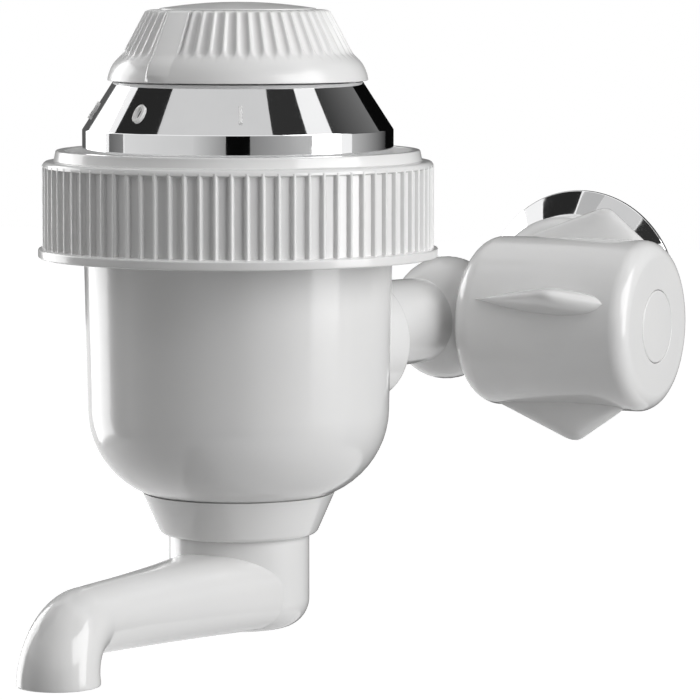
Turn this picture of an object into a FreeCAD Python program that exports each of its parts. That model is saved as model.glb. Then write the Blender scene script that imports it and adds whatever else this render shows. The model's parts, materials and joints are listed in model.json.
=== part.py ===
import FreeCAD, Part
import math
import os

# Electric tap for a wall pipe: a valve on the wall, a short arm, an instantaneous water heater
# with a selector knob on its top, and a spout that swivels under it.
# Lengths are millimetres. The origin lies in the plane of the wall, on the inlet's axis.
# +Y points into the wall, +Z is up, and +X is to the right of someone who faces the tap.

V = FreeCAD.Vector

# Clearances
seat_gap = 0.1          # between still pieces that bear on each other
run_gap = 0.05          # radial, between a turning or sliding piece and its guide
free_gap = 0.4          # between moving pieces that pass each other
thread_gap = 0.02       # radial, between a screw or press fit and its hole

# Layout
wall_to_valve = 96.0    # plane of the wall to the handle's axis
arm_reach = 91.0        # valve centre to the heater's axis
arm_turn = 13.0         # degrees that the arm is turned to the left of straight ahead

# Inlet
thread_r = 10.48        # half-inch pipe thread, outside
thread_length = 17.0
thread_into_wall = 14.0
nipple_bore_r = 7.0
nipple_root_r = 9.0
nipple_root_length = 18.0
strainer_t = 1.6
strainer_hole_r = 0.8
strainer_rings = (2.6, 5.0)

# Wall flange
flange_r = 32.5
flange_rim = 1.2
flange_depth = 7.6
flange_sheet = 1.2
flange_hole_gap = 0.2
flange_rim_t = 1.6
flange_lip = 0.3

# Valve body
bell_r = 25.0
bell_straight = 4.5
bell_shoulder = 9.0
bell_taper = 14.0
bell_wall = 2.5
bell_hollow = 6.5
tube_r = 11.4
ball_r = 17.9
ball_half_width = 15.2
ball_wall = 4.1
water_r = 6.0
inlet_way_r = 3.2       # slanted ways to the seat and from it
outlet_way_r = 4.2
way_bend = 1.5          # past the ball, where a slanted way meets its pipe
inlet_way_aim = (2.0, 3.0)
outlet_way_start = (4.5, 4.0)
socket_r = 13.5
socket_reach = 19.0
socket_bore_r = 10.0
stub_r = 12.1
stub_end_r = 12.6
boss_length = 12.9      # from the cup's side to the end face of its boss
spigot_r = 9.5
arm_gap = 0.2
arm_pin_r = 1.5
arm_pin_cover = 4.0
arm_seal_inset = 1.0
arm_seal_spacing = 3.0

# Valve works, along the handle's axis from the valve centre
seat_x = 0.5
seat_r = 7.2
seat_bore_r = 4.5
seat_lip = 0.7
seat_lip_t = 1.2
seat_depth = 3.5
washer_t = 3.0
washer_r = 6.8
carrier_disc_t = 2.3
carrier_disc_r = 7.2
carrier_flats = 9.0
carrier_pin_r = 1.4
carrier_pin_inset = 0.6
carrier_length = 15.0
valve_travel = 4.5
stem_thread_r = 3.0
stem_r = 4.0
stem_square_half = 2.9
stem_collar_r = 5.4
stem_collar_t = 3.8
stem_head_length = 8.0
stem_tip_room = 4.0
bonnet_flange_r = 12.8
bonnet_flange_t = 3.5
bonnet_neck_r = 8.5
bonnet_neck_length = 10.0
bonnet_seal_t = 1.0
gland_r = 6.9
gland_head_r = 8.0
gland_head_t = 3.0
ring_section_r = 0.8    # small seal rings
ring_slack = 0.01

# Handle
handle_r = 24.5
handle_length = 55.0
handle_start = 12.0
handle_wall = 3.0
handle_back_round = 7.0
handle_front_round = 5.0
handle_face_t = 5.0
hub_r = 7.0
cap_r = 10.4
cap_t = 2.6
cap_proud = 0.1
cap_edge = 0.4
cap_skirt = 2.0
cap_skirt_wall = 0.9
handle_mouth_gap = 2.0
wing_count = 4
wing_tilt = 16.4        # degrees that the front wing stands above level
wing_r = 34.0
wing_start = 8.4
wing_peak = 34.5
wing_end = 48.2
wing_t = 6.6
wing_tip_round = 4.0
wing_widest = 0.66      # part of the wing's length
wing_bulge = 0.8        # part of its half thickness
wing_blunt = 2.2
wing_blunt_half = 2.4
screw_r = 2.0
screw_head_r = 3.6
screw_head_t = 2.2
screw_slot = 0.9
screw_hole_gap = 0.25
screw_hold = 8.0        # length of the screw inside the piece that it holds

# Heater cup, heights from the arm's axis
cup_top_r = 42.5
cup_draft = 1.4         # the cup is this much narrower above its round bottom
cup_wall = 3.0
cup_corner = 24.5
cup_bottom = -44.2
cup_flare_z = 22.9
ledge_z = 25.5
rim_step = 3.5
rim_wall = 3.3
rim_height = 15.5
rim_flare = 1.2
boss_r = 17.5
boss_root_r = 19.0
boss_drop = 3.7
boss_round = 1.5
neck_boss_r = 17.5
neck_boss_z = -51.5
swivel_r = 12.0
swivel_wall = 3.5
swivel_lip = 1.6
swivel_groove = 1.2

# Spout collar
collar_top_r = 26.6
collar_low_r = 21.9
collar_top = -42.4
collar_low = -51.4
collar_end = -54.0
collar_round = 1.6

# Inside the heater
seal_t = 1.5
seal_inset = 0.5
plate_t = 3.9
diaphragm_land = 2.3
diaphragm_t = 1.5
well_land = 7.0
well_depth = 1.0
plate_gap = 0.3
diaphragm_gap = 0.2
vent_r = 2.0
vent_ring_r = 14.4
vent_count = 6
vent_turn = 15.0        # degrees
block_height = 13.9
press_land = 5.0
web_t = 5.0
web_room = 7.1
block_rim = 10.0
plate_lift = 2.5
press_inset = 2.5
press_t = 2.4
guide_r = 4.0
bridge_length = 34.0
bridge_width = 6.0
bridge_offset = 9.0
bridge_t = 1.2
contact_r = 2.2
contact_t = 0.5
contact_x = 14.0
contact_step = 0.4
post_gap = 0.3
spring_pocket_r = 7.0
spring_pocket = 2.0
spring_r = 5.8
spring_wire_r = 0.5
spring_turns = 4
post_r = 2.2
post_room = 4.0
post_height = 11.0
post_below = 3.5
warm_lead = 75.0        # degrees, first lead of each coil
hot_lead = 255.0        # degrees
lead_spread = 30.0      # degrees
block_screw_inset = 4.6
block_screw_r = 1.5
block_screw_head_r = 2.8
block_screw_head_t = 2.5
block_screw_head_z = 7.0
block_screw_floor = 1.2
block_screw_count = 3
coil_tube_r = 3.0
coil_lead_r = 1.2
coil_lead_step = 0.2
coil_spacing = 11.0
warm_coil_z = -16.0
hot_coil_inset = 6.0
hot_coil_z = -3.0
fin_land = 3.3
fin_t = 2.0
fin_count = 4
fin_turn = 45.0         # degrees
fin_bottom = -28.0
foot_t = 2.0
support_r = 5.0

# Ring nut
ring_wall = 4.4
ring_lip = 1.2
ring_lip_t = 2.5
ring_height = 29.5
ring_roof_t = 4.2
ring_shoulder = 3.6
ring_collar_t = 3.0
ring_collar_wall = 2.3
ring_thread_gap = 0.2
rib_count = 80
rib_depth = 1.3
rib_margin = 1.6
rib_floor = 0.6         # groove's half width at its floor and mouth, as parts of a half pitch
rib_mouth = 0.8

# Top cover, bezel and cable inlet
cover_flange_t = 3.1
cover_step_t = 2.4
band_inset = 4.8
band_height = 7.4
cone_run = 6.9
cone_height = 10.7
bezel_t = 1.2
bezel_edge_t = 0.6
cover_wall = 2.6
cover_lip = 2.0
cover_edge = 0.6
cover_lip_run = 2.4
bush_r = 8.0
bush_length = 11.0
grommet_z = 59.0
grommet_r = 4.6
grommet_flange_r = 6.2
grommet_flange_t = 1.6
cable_r = 3.2
grommet_length = 10.9

# Selector
knob_gap = 0.7
knob_inset = 0.4
knob_skirt_step = 4.3
knob_side_run = 5.8
knob_skirt_height = 3.2
knob_waist_height = 8.2
knob_side_height = 19.0
knob_height = 21.5
knob_wall = 2.6
knob_screw_sink = 1.0
knob_crown_land = 3.9
knob_cap_step = 1.6
knob_cap_plug = 1.0
knob_cap_edge = 0.3
knob_dome = 2.1
knob_sweep = 0.35
knob_crown_edge = 1.4
knob_hub_r = 9.0
flute_count = 52
flute_r = 1.1
flute_depth = 0.7
pointer_flutes = 2
pointer_width = 7.0
pointer_rise = 1.3
shaft_r = 5.0
shaft_socket = 8.0
cam_r = 17.0
cam_t = 5.0
cam_lift = 1.5
cam_notch_r = 1.4
cam_notch_count = 3
wiper_t = 1.0
wiper_length = 26.0
wiper_width = 5.0
clip_t = 1.0
clip_r = 8.0
clip_groove = 0.6
clip_mouth_width = 3.0
swivel_clip_r = 15.0
terminal_size = (20.0, 10.0, 11.0)
terminal_room = 4.5
terminal_hole_r = 1.6

# Spout, heights from the arm's axis
spout_neck_r = 19.5
spout_neck_round = 12.0
spout_bottom = -79.6
spout_root_r = 19.2     # the arm is as wide as the neck where it leaves it
spout_root_half = 11.5
spout_waist_y = 30.0    # along the arm, where it has narrowed
spout_waist_r = 13.6
spout_waist_half = 11.0
spout_tip_r = 9.8
spout_arm_z = -68.0
spout_tip_z = -66.8
spout_reach = 96.0
spout_elbow = 12.0
spout_mouth_z = -82.0
spout_mouth_r = 11.0
spout_wall = 2.4
spout_seal_start = 3.4
spout_seal_spacing = 4.6
insert_recess = 3.0
insert_t = 2.8
insert_shoulder = 0.8
insert_hole_r = 1.0
insert_rings = (2.9, 5.4)
insert_skirt = 1.4
insert_inset = 0.4

# Places worked out from the sizes above
valve = V(0, -wall_to_valve, 0)
arm_dir = V(-math.sin(math.radians(arm_turn)), -math.cos(math.radians(arm_turn)), 0)
to_valve = V(0, 0, 0) - arm_dir
heater = valve + arm_dir * arm_reach
dial_turn = -arm_turn
bell_start = flange_depth + seat_gap
tube_start = thread_length - thread_into_wall
seat_top = seat_x + seat_lip
carrier_x = seat_top + washer_t + run_gap
bonnet_x = seat_x + washer_t + carrier_disc_t + valve_travel + 1.5
bonnet_face = socket_reach + bonnet_seal_t
bonnet_top = bonnet_face + bonnet_flange_t + bonnet_neck_length
stem_tip = carrier_x + valve_travel + stem_tip_room
stem_collar_x = bonnet_face + bonnet_flange_t + 0.6
screw_floor_x = handle_start + handle_length - handle_face_t - 3.6
stem_head_x = screw_floor_x - 1.5 - stem_head_length
cup_low_r = cup_top_r - cup_draft
boss_start = arm_reach - cup_low_r - boss_length   # valve centre to the end face of the boss
rim_bore_r = cup_top_r + rim_step
rim_r = rim_bore_r + rim_wall
ring_r = rim_r + ring_thread_gap + ring_wall
ring_lip_r = ring_r + ring_lip
ring_collar_r = ring_r - ring_shoulder
ring_opening_r = ring_collar_r - ring_collar_wall
cover_step_r = ring_opening_r - free_gap
band_r = cover_step_r - band_inset
cone_top_r = band_r - cone_run
knob_skirt_r = cone_top_r - knob_inset
knob_waist_r = knob_skirt_r - knob_skirt_step
knob_crown_r = knob_waist_r - knob_side_run
knob_cap_r = knob_crown_r - knob_crown_land
post_ring_r = cup_top_r - cup_wall - post_room
diaphragm_r = post_ring_r - post_r - diaphragm_land
well_r = diaphragm_r - well_land
fin_r = post_ring_r - post_r - fin_land
hot_coil_r = fin_r - hot_coil_inset
warm_coil_r = hot_coil_r - coil_spacing
press_room_r = diaphragm_r - press_land
press_r = press_room_r - press_inset
block_well_r = rim_bore_r - block_rim
screw_ring_r = rim_bore_r - block_screw_inset
plate_z = ledge_z + seal_t
plate_top = plate_z + plate_t
block_z = plate_top + seat_gap
block_top = block_z + block_height
web_z = block_z + web_room
press_z = block_z + run_gap
cover_step_z = block_top + cover_flange_t
ring_roof_z = cover_step_z + seat_gap
ring_top = ring_roof_z + ring_roof_t
ring_bottom = ring_top - ring_height
band_z = cover_step_z + cover_step_t + seat_gap
cone_z = band_z + band_height
cone_top = cone_z + cone_height
cover_top = cone_top + cover_lip
knob_z = cover_top + knob_gap
bush_z = cover_top - bush_length
cam_z = block_top + cam_lift
swivel_bore_r = swivel_r + run_gap
shaft_top = knob_z + shaft_socket
cup_floor = cup_bottom + cup_wall
spigot_end = arm_reach - cup_low_r + cup_wall + 1.0
neck_top = neck_boss_z - free_gap


def face_of(start, *steps):
    """Flat face of points (r, z). A pair of points is an arc: one that it passes, and its end."""
    here = V(start[0], 0, start[1])
    edges = []
    for step in steps + (start,):
        if isinstance(step[0], tuple):
            through, end = [V(r, 0, z) for r, z in step]
            edges.append(Part.Arc(here, through, end).toShape())
        else:
            end = V(step[0], 0, step[1])
            edges.append(Part.makeLine(here, end))
        here = end
    return Part.Face(Part.Wire(edges))


def spun(start, *steps):
    """Solid of revolution about +Z of the outline that the points give."""
    solid = face_of(start, *steps).revolve(V(0, 0, 0), V(0, 0, 1), 360)
    if solid.Volume < 0:
        solid.reverse()
    return solid


def rod(radius, z0, z1, x=0.0, y=0.0):
    """Upright cylinder from z0 to z1."""
    return Part.makeCylinder(radius, z1 - z0, V(x, y, z0))


def tube(outer, inner, z0, z1):
    """Upright round tube."""
    return rod(outer, z0, z1).cut(rod(inner, z0 - 1, z1 + 1))


def rod_between(radius, start, end):
    """Cylinder from one point to another."""
    span = end - start
    return Part.makeCylinder(radius, span.Length, start, span)


def seal_ring(radius, section, z):
    """Round seal ring about +Z."""
    return Part.makeTorus(radius, section, V(0, 0, z))


def around(shape, count, first=0.0):
    """Copies of a shape, evenly turned about +Z."""
    copies = []
    for index in range(count):
        copy = shape.copy()
        copy.rotate(V(0, 0, 0), V(0, 0, 1), first + index * 360.0 / count)
        copies.append(copy)
    return copies


def prism(points, z0, z1):
    """Upright prism on a closed outline of points (x, y)."""
    corners = [V(x, y, z0) for x, y in points + points[:1]]
    return Part.Face(Part.makePolygon(corners)).extrude(V(0, 0, z1 - z0))


def hexagon(flats, z0, z1):
    """Upright hexagonal prism, given across its flats."""
    corner = flats / math.sqrt(3)
    angles = [math.radians(60 * index) for index in range(6)]
    return prism([(corner * math.cos(a), corner * math.sin(a)) for a in angles], z0, z1)


def box(size, centre_x, centre_y, z0):
    """Upright box that is centred in X and Y."""
    width, depth, height = size
    return Part.makeBox(width, depth, height, V(centre_x - width / 2, centre_y - depth / 2, z0))


def placed(shape, origin, direction):
    """A copy whose own +Z points along the direction, from the origin given."""
    copy = shape.copy()
    frame = FreeCAD.Placement(origin, FreeCAD.Rotation(V(0, 0, 1), direction))
    copy.Placement = frame.multiply(copy.Placement)
    return copy


def from_wall(shape):
    """Puts a shape that stands on the wall: its +Z leaves the wall."""
    return placed(shape, V(0, 0, 0), V(0, -1, 0))


def on_handle_axis(shape):
    """Puts a shape of the valve's works: its +Z runs from the valve centre to the handle."""
    return placed(shape, valve, V(1, 0, 0))


def on_arm(shape):
    """Puts a shape of the arm: its +Z runs from the valve centre to the heater."""
    return placed(shape, valve, arm_dir)


def at_heater(shape, turn=0.0):
    """Puts a shape of the heater: its own -Y is the front, turned with the arm."""
    copy = shape.copy()
    frame = FreeCAD.Placement(heater, FreeCAD.Rotation(V(0, 0, 1), turn))
    copy.Placement = frame.multiply(copy.Placement)
    return copy


def save(name, *shapes):
    """Writes one sub-part, of one or more separate solids."""
    solids = []
    for shape in shapes:
        solids.extend(shape.removeSplitter().Solids)
    whole = solids[0] if len(solids) == 1 else Part.makeCompound(solids)
    whole.exportStep("parts/" + name + ".step")
    for solid in solids:
        if not solid.isValid() or solid.Volume <= 0:
            print("check", name, solid.isValid(), round(solid.Volume, 3))


def build_flange():
    """Conical trim, open at its back, that the bell presses on the wall."""
    hole_r = tube_r + flange_hole_gap
    inner_r = flange_r - flange_rim_t
    back_z = flange_depth - flange_sheet
    flange = spun((flange_r, 0), (flange_r, flange_rim), (bell_r + flange_lip, flange_depth),
                  (hole_r, flange_depth), (hole_r, back_z), (bell_r - flange_sheet, back_z),
                  (inner_r, flange_rim / 3), (inner_r, 0))
    save("wall_flange", from_wall(flange))


def valve_solid():
    """Outside of the valve body: tube, bell, ball, headwork socket and arm."""
    shoulder_z = bell_start + bell_straight
    end_r = bell_r - bell_shoulder
    lean = bell_shoulder * math.sqrt(0.5)
    bell = spun((0, bell_start), (bell_r, bell_start), (bell_r, shoulder_z),
                ((end_r + lean, shoulder_z + lean), (end_r, shoulder_z + bell_shoulder)),
                (tube_r, shoulder_z + bell_taper), (0, shoulder_z + bell_taper))
    flat_r = ball_r - ball_half_width
    ball = spun((0, -ball_half_width), (flat_r, -ball_half_width), ((ball_r, 0), (flat_r, ball_half_width)),
                (0, ball_half_width))
    stub = Part.makeCone(stub_r, stub_end_r, boss_start - seat_gap)
    body = from_wall(rod(tube_r, tube_start + seat_gap, wall_to_valve)).fuse(from_wall(bell))
    for piece in (on_handle_axis(ball), on_handle_axis(rod(socket_r, 0, socket_reach)), on_arm(stub)):
        body = body.fuse(piece)
    return body.fuse(on_arm(rod(spigot_r, boss_start - 2, spigot_end)))


def build_valve_body():
    """Moulded body with its waterways, and the brass pieces that are pressed into it."""
    root_end = tube_start + nipple_root_length
    bell_back = tube(bell_r - bell_wall, tube_r + bell_wall, 0, bell_start + bell_hollow)
    cuts = [from_wall(bell_back), from_wall(rod(nipple_root_r + run_gap, 0, root_end))]
    cuts.append(from_wall(rod(water_r, root_end - 1, wall_to_valve - ball_r)))
    chamber_x = ball_wall - ball_half_width
    cuts.append(on_handle_axis(rod(water_r, chamber_x, seat_x - seat_depth + 1)))
    cuts.append(on_handle_axis(rod(seat_r + run_gap, seat_x - seat_depth, seat_x)))
    cuts.append(on_handle_axis(rod(socket_bore_r, seat_x, socket_reach + 1)))
    cuts.append(on_arm(rod(water_r, ball_r, spigot_end + 1)))
    inlet_bend = valve + V(-way_bend, ball_r + way_bend, 0)
    inlet_aim = valve + V(chamber_x + inlet_way_aim[0], inlet_way_aim[1], 0)
    cuts.append(rod_between(inlet_way_r, inlet_bend, inlet_aim))
    outlet_start = valve + V(seat_x + outlet_way_start[0], -outlet_way_start[1], 0)
    cuts.append(rod_between(outlet_way_r, outlet_start, valve + arm_dir * (ball_r + way_bend)))
    body = valve_solid()
    for cut in cuts:
        body = body.cut(cut)
    for z in arm_seal_places():
        groove = tube(spigot_r + 1, arm_seal_r() - ring_section_r, z - ring_section_r, z + ring_section_r)
        body = body.cut(on_arm(groove))
    body = body.cut(arm_pin_solid(run_gap))
    save("valve_body", body)

    nipple = rod(nipple_root_r, 0, root_end).fuse(rod(thread_r, -thread_into_wall, tube_start))
    nipple = nipple.cut(rod(nipple_bore_r, -thread_into_wall - 1, root_end + 1))
    save("inlet_nipple", from_wall(nipple))

    strainer = rod(nipple_bore_r - run_gap, 0, strainer_t)
    hole = (strainer_hole_r, -1, strainer_t + 1)
    first, second = strainer_rings
    holes = [rod(*hole)] + around(rod(*hole, first), 6) + around(rod(*hole, second), 12)
    save("inlet_strainer", from_wall(strainer.cut(Part.makeCompound(holes))))


def arm_seal_r():
    """Centre radius of the arm's seal rings, which end a running gap inside the boss's bore."""
    return spigot_r + arm_gap - run_gap - ring_section_r


def arm_seal_places():
    """Places of the two seal rings along the arm."""
    last = arm_reach - cup_low_r - arm_seal_inset
    return (last, last - arm_seal_spacing)


def arm_pin_solid(gap=0.0):
    """Upright pin through the boss and a notch in the arm's spigot; the gap is for its hole."""
    side = V(-arm_dir.y, arm_dir.x, 0)
    middle = valve + arm_dir * (boss_start + 3 * arm_pin_r) + side * (spigot_r - arm_gap)
    reach = boss_r - arm_pin_cover
    low = middle + V(0, 0, -boss_drop - reach)
    high = middle + V(0, 0, -boss_drop + reach)
    return rod_between(arm_pin_r + gap, low, high)


def build_arm_fittings():
    """Seal rings and locking pin of the arm in the heater's boss."""
    rings = [on_arm(seal_ring(arm_seal_r(), ring_section_r - ring_slack, z)) for z in arm_seal_places()]
    save("arm_seals", *rings)
    save("arm_pin", arm_pin_solid())


def build_valve_works():
    """Seat, washer, carrier, headwork, gland and stem along the handle's axis."""
    seat = tube(seat_r, seat_bore_r, seat_x - seat_depth, seat_x)
    seat = seat.fuse(tube(seat_bore_r + seat_lip_t, seat_bore_r, seat_x - 1, seat_top))
    save("valve_seat", on_handle_axis(seat))
    washer = tube(washer_r, carrier_pin_r + run_gap, seat_top, seat_top + washer_t)
    save("valve_washer", on_handle_axis(washer))

    shank_top = carrier_x + carrier_length
    carrier = rod(carrier_disc_r, carrier_x, carrier_x + carrier_disc_t)
    carrier = carrier.fuse(hexagon(carrier_flats, carrier_x, shank_top))
    carrier = carrier.fuse(rod(carrier_pin_r, seat_top + carrier_pin_inset, carrier_x))
    carrier = carrier.cut(rod(stem_thread_r, stem_tip - valve_travel - 1, shank_top + 1))
    save("washer_carrier", on_handle_axis(carrier))

    bonnet = rod(socket_bore_r - seat_gap, bonnet_x, bonnet_face + 1)
    bonnet = bonnet.fuse(rod(bonnet_flange_r, bonnet_face, bonnet_face + bonnet_flange_t))
    bonnet = bonnet.fuse(rod(bonnet_neck_r, bonnet_face, bonnet_top))
    bonnet = bonnet.cut(hexagon(carrier_flats + 2 * seat_gap, bonnet_x - 1, stem_collar_x - run_gap))
    bonnet = bonnet.cut(rod(stem_collar_r + run_gap, stem_collar_x - run_gap, bonnet_top + 1))
    gland_z = stem_collar_x + stem_collar_t + run_gap
    bonnet = bonnet.cut(rod(gland_r + run_gap, gland_z, bonnet_top + 1))
    save("bonnet", on_handle_axis(bonnet))
    seal = tube(bonnet_flange_r, socket_bore_r + seat_gap, socket_reach, bonnet_face)
    save("bonnet_seal", on_handle_axis(seal))

    gland_top = bonnet_top + seat_gap + gland_head_t
    seal_z = gland_z + 3 * ring_section_r
    ring_r = stem_r + run_gap + ring_section_r
    gland = rod(gland_r, gland_z, gland_top).fuse(rod(gland_head_r, bonnet_top + seat_gap, gland_top))
    gland = gland.cut(rod(stem_r + run_gap, gland_z - 1, gland_top + 1))
    gland = gland.cut(tube(ring_r + ring_section_r, stem_r, seal_z - ring_section_r, seal_z + ring_section_r))
    save("gland_nut", on_handle_axis(gland))
    save("stem_seal", on_handle_axis(seal_ring(ring_r, ring_section_r - ring_slack, seal_z)))

    head_end = stem_head_x + stem_head_length
    stem = rod(stem_thread_r - run_gap, stem_tip, stem_collar_x + 1)
    stem = stem.fuse(rod(stem_collar_r, stem_collar_x, stem_collar_x + stem_collar_t))
    stem = stem.fuse(rod(stem_r, stem_collar_x, stem_head_x))
    stem = stem.fuse(stem_square(0.0, stem_head_x, head_end))
    stem = stem.cut(rod(screw_r + thread_gap, head_end - screw_hold - 1, head_end + 1))
    save("valve_stem", on_handle_axis(stem))

    head_top = screw_floor_x + screw_head_t
    screw = rod(screw_r - run_gap, head_end - screw_hold, screw_floor_x + 1)
    screw = screw.fuse(rod(screw_head_r, screw_floor_x, head_top))
    slot = box((2 * screw_head_r + 1, screw_slot, screw_slot), 0, 0, head_top - screw_slot)
    save("handle_screw", on_handle_axis(screw.cut(slot)))


def stem_square(gap, z0, z1):
    """Square end of the stem, or the hole for it."""
    side = 2 * (stem_square_half + gap)
    return box((side, side, z1 - z0), 0, 0, z0)


def wing_side():
    """Side view of a wing: two flanks that rise to a rounded tip, as a block of enough thickness."""
    z0 = handle_start + wing_start
    tip_z = handle_start + wing_peak
    z1 = handle_start + wing_end
    rise = wing_r - handle_r
    back = math.atan2(rise, tip_z - z0)
    front = math.atan2(rise, z1 - tip_z)
    middle = (back + front) / 2
    trim = wing_tip_round * math.tan(middle)
    crest_r = wing_r - wing_tip_round * (1 / math.cos(middle) - 1)
    back_end = (wing_r - trim * math.sin(back), tip_z - trim * math.cos(back))
    front_end = (wing_r - trim * math.sin(front), tip_z + trim * math.cos(front))
    root = handle_r - handle_wall / 2
    side = face_of((root, z0), (handle_r, z0), back_end, ((crest_r, tip_z), front_end),
                   (handle_r, z1), (root, z1))
    side.translate(V(0, -wing_t, 0))
    return side.extrude(V(0, 2 * wing_t, 0))


def wing_plan():
    """Plan of a wing: pointed at the back, widest near the front, blunt at the front."""
    z0 = handle_start + wing_start
    z1 = handle_start + wing_end
    half = wing_t / 2
    widest = z0 + wing_widest * (z1 - z0)
    bulge_z = (z0 + widest) / 2
    plan = face_of((0, z1), (-wing_blunt_half, z1 - wing_blunt), (-half, widest),
                   ((-wing_bulge * half, bulge_z), (0, z0)), ((wing_bulge * half, bulge_z), (half, widest)),
                   (wing_blunt_half, z1 - wing_blunt))
    plan.rotate(V(0, 0, 0), V(0, 0, 1), 90)
    return plan.extrude(V(wing_r + 2, 0, 0))


def handle_shell():
    """Hollow drum with rounded ends, open at its back round the headwork socket."""
    z0 = handle_start
    z1 = handle_start + handle_length
    back = handle_back_round
    front = handle_front_round
    lean_back = back * (1 - math.sqrt(0.5))
    lean_front = front * (1 - math.sqrt(0.5))
    shell = spun((0, z0), (handle_r - back, z0),
                 ((handle_r - lean_back, z0 + lean_back), (handle_r, z0 + back)), (handle_r, z1 - front),
                 ((handle_r - lean_front, z1 - lean_front), (handle_r - front, z1)), (0, z1))
    inner_r = handle_r - handle_wall
    inner_back = back - handle_wall
    lean = inner_back * (1 - math.sqrt(0.5))
    floor = z0 + handle_wall
    face_z = z1 - handle_face_t
    room = spun((0, floor), (inner_r - inner_back, floor),
                ((inner_r - lean, floor + lean), (inner_r, z0 + back)), (inner_r, face_z), (0, face_z))
    return shell.cut(room).cut(rod(socket_r + handle_mouth_gap, z0 - 1, floor + 1))


def build_handle():
    """Handle with its wings and hub, and the cap over its screw."""
    z1 = handle_start + handle_length
    handle = handle_shell()
    wing = wing_side().common(wing_plan())
    for copy in around(wing, wing_count, -90 - wing_tilt):
        handle = handle.fuse(copy)
    handle = handle.fuse(rod(hub_r, stem_head_x + free_gap, z1 - handle_face_t + 1))
    handle = handle.cut(stem_square(run_gap, stem_head_x, stem_head_x + stem_head_length + seat_gap))
    handle = handle.cut(rod(screw_r + screw_hole_gap, stem_head_x, z1))
    handle = handle.cut(rod(screw_head_r + screw_hole_gap, screw_floor_x, z1))
    handle = handle.cut(rod(cap_r + run_gap, z1 - cap_t, z1 + 1))
    save("handle", on_handle_axis(handle))
    floor = z1 - cap_t + run_gap
    cap = rod(cap_r, floor, z1 + cap_proud)
    cap = cap.makeChamfer(cap_edge, [cap.Edges[0]])
    skirt_r = screw_head_r + screw_hole_gap - run_gap
    cap = cap.fuse(tube(skirt_r, skirt_r - cap_skirt_wall, floor - cap_skirt, floor + cap_t / 2))
    save("handle_cap", on_handle_axis(cap))


def cup_outline(offset, top_z, top_r):
    """Solid inside the cup's outline, moved inward by the offset, up to the height given."""
    corner = cup_corner - offset
    low_r = cup_low_r - offset
    corner_z = cup_bottom + cup_corner
    lean = corner * math.sqrt(0.5)
    flat_r = low_r - corner
    return spun((0, cup_bottom + offset), (flat_r, cup_bottom + offset),
                ((flat_r + lean, corner_z - lean), (low_r, corner_z)), (top_r, top_z), (0, top_z))


def build_cup():
    """Heater cup with its rim, the boss for the arm and the boss for the spout."""
    outer = cup_outline(0, cup_flare_z, cup_top_r)
    rim_top = ledge_z + rim_height
    rim = spun((0, cup_flare_z), (cup_top_r, cup_flare_z), (rim_r, cup_flare_z + rim_flare), (rim_r, rim_top),
               (0, rim_top))
    boss_end = arm_reach - boss_start
    lean = boss_round * (1 - math.sqrt(0.5))
    boss = spun((0, 0), (boss_root_r, 0), (boss_r, boss_end - boss_round),
                ((boss_r - lean, boss_end - lean), (boss_r - boss_round, boss_end)), (0, boss_end))
    boss = placed(boss, heater + V(0, 0, -boss_drop), to_valve)
    cup = at_heater(outer.fuse(rim).fuse(rod(neck_boss_r, neck_boss_z, cup_bottom + 2))).fuse(boss)
    cup = cup.cut(at_heater(cup_outline(cup_wall, ledge_z, cup_top_r - cup_wall)))
    cup = cup.cut(at_heater(rod(rim_bore_r, ledge_z, rim_top + 1)))
    cup = cup.cut(at_heater(rod(swivel_bore_r, neck_boss_z - 1, cup_floor + 1)))
    cup = cup.cut(on_arm(rod(spigot_r + arm_gap, boss_start - 1, spigot_end + 1)))
    cup = cup.cut(arm_pin_solid(run_gap))
    save("heater_cup", cup)

    bore_r = neck_boss_r + seat_gap
    skirt_r = spout_neck_r + free_gap
    middle = (collar_low_r - 0.25 * collar_round, (collar_low + collar_end) / 2)
    collar = spun((bore_r, collar_top), (collar_top_r, collar_top), (collar_low_r, collar_low),
                  (middle, (collar_low_r - collar_round, collar_end)), (skirt_r, collar_end),
                  (skirt_r, neck_boss_z), (bore_r, neck_boss_z))
    collar = collar.cut(cup_outline(-seat_gap, cup_flare_z, cup_top_r))
    save("spout_collar", at_heater(collar))


def spout_neck():
    """Round neck of the spout with its rounded bottom."""
    lean = spout_neck_round * (1 - math.sqrt(0.5))
    return spun((0, neck_top), (spout_neck_r, neck_top), (spout_neck_r, spout_bottom + spout_neck_round),
                ((spout_neck_r - lean, spout_bottom + lean), (spout_neck_r - spout_neck_round, spout_bottom)),
                (0, spout_bottom))


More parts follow.
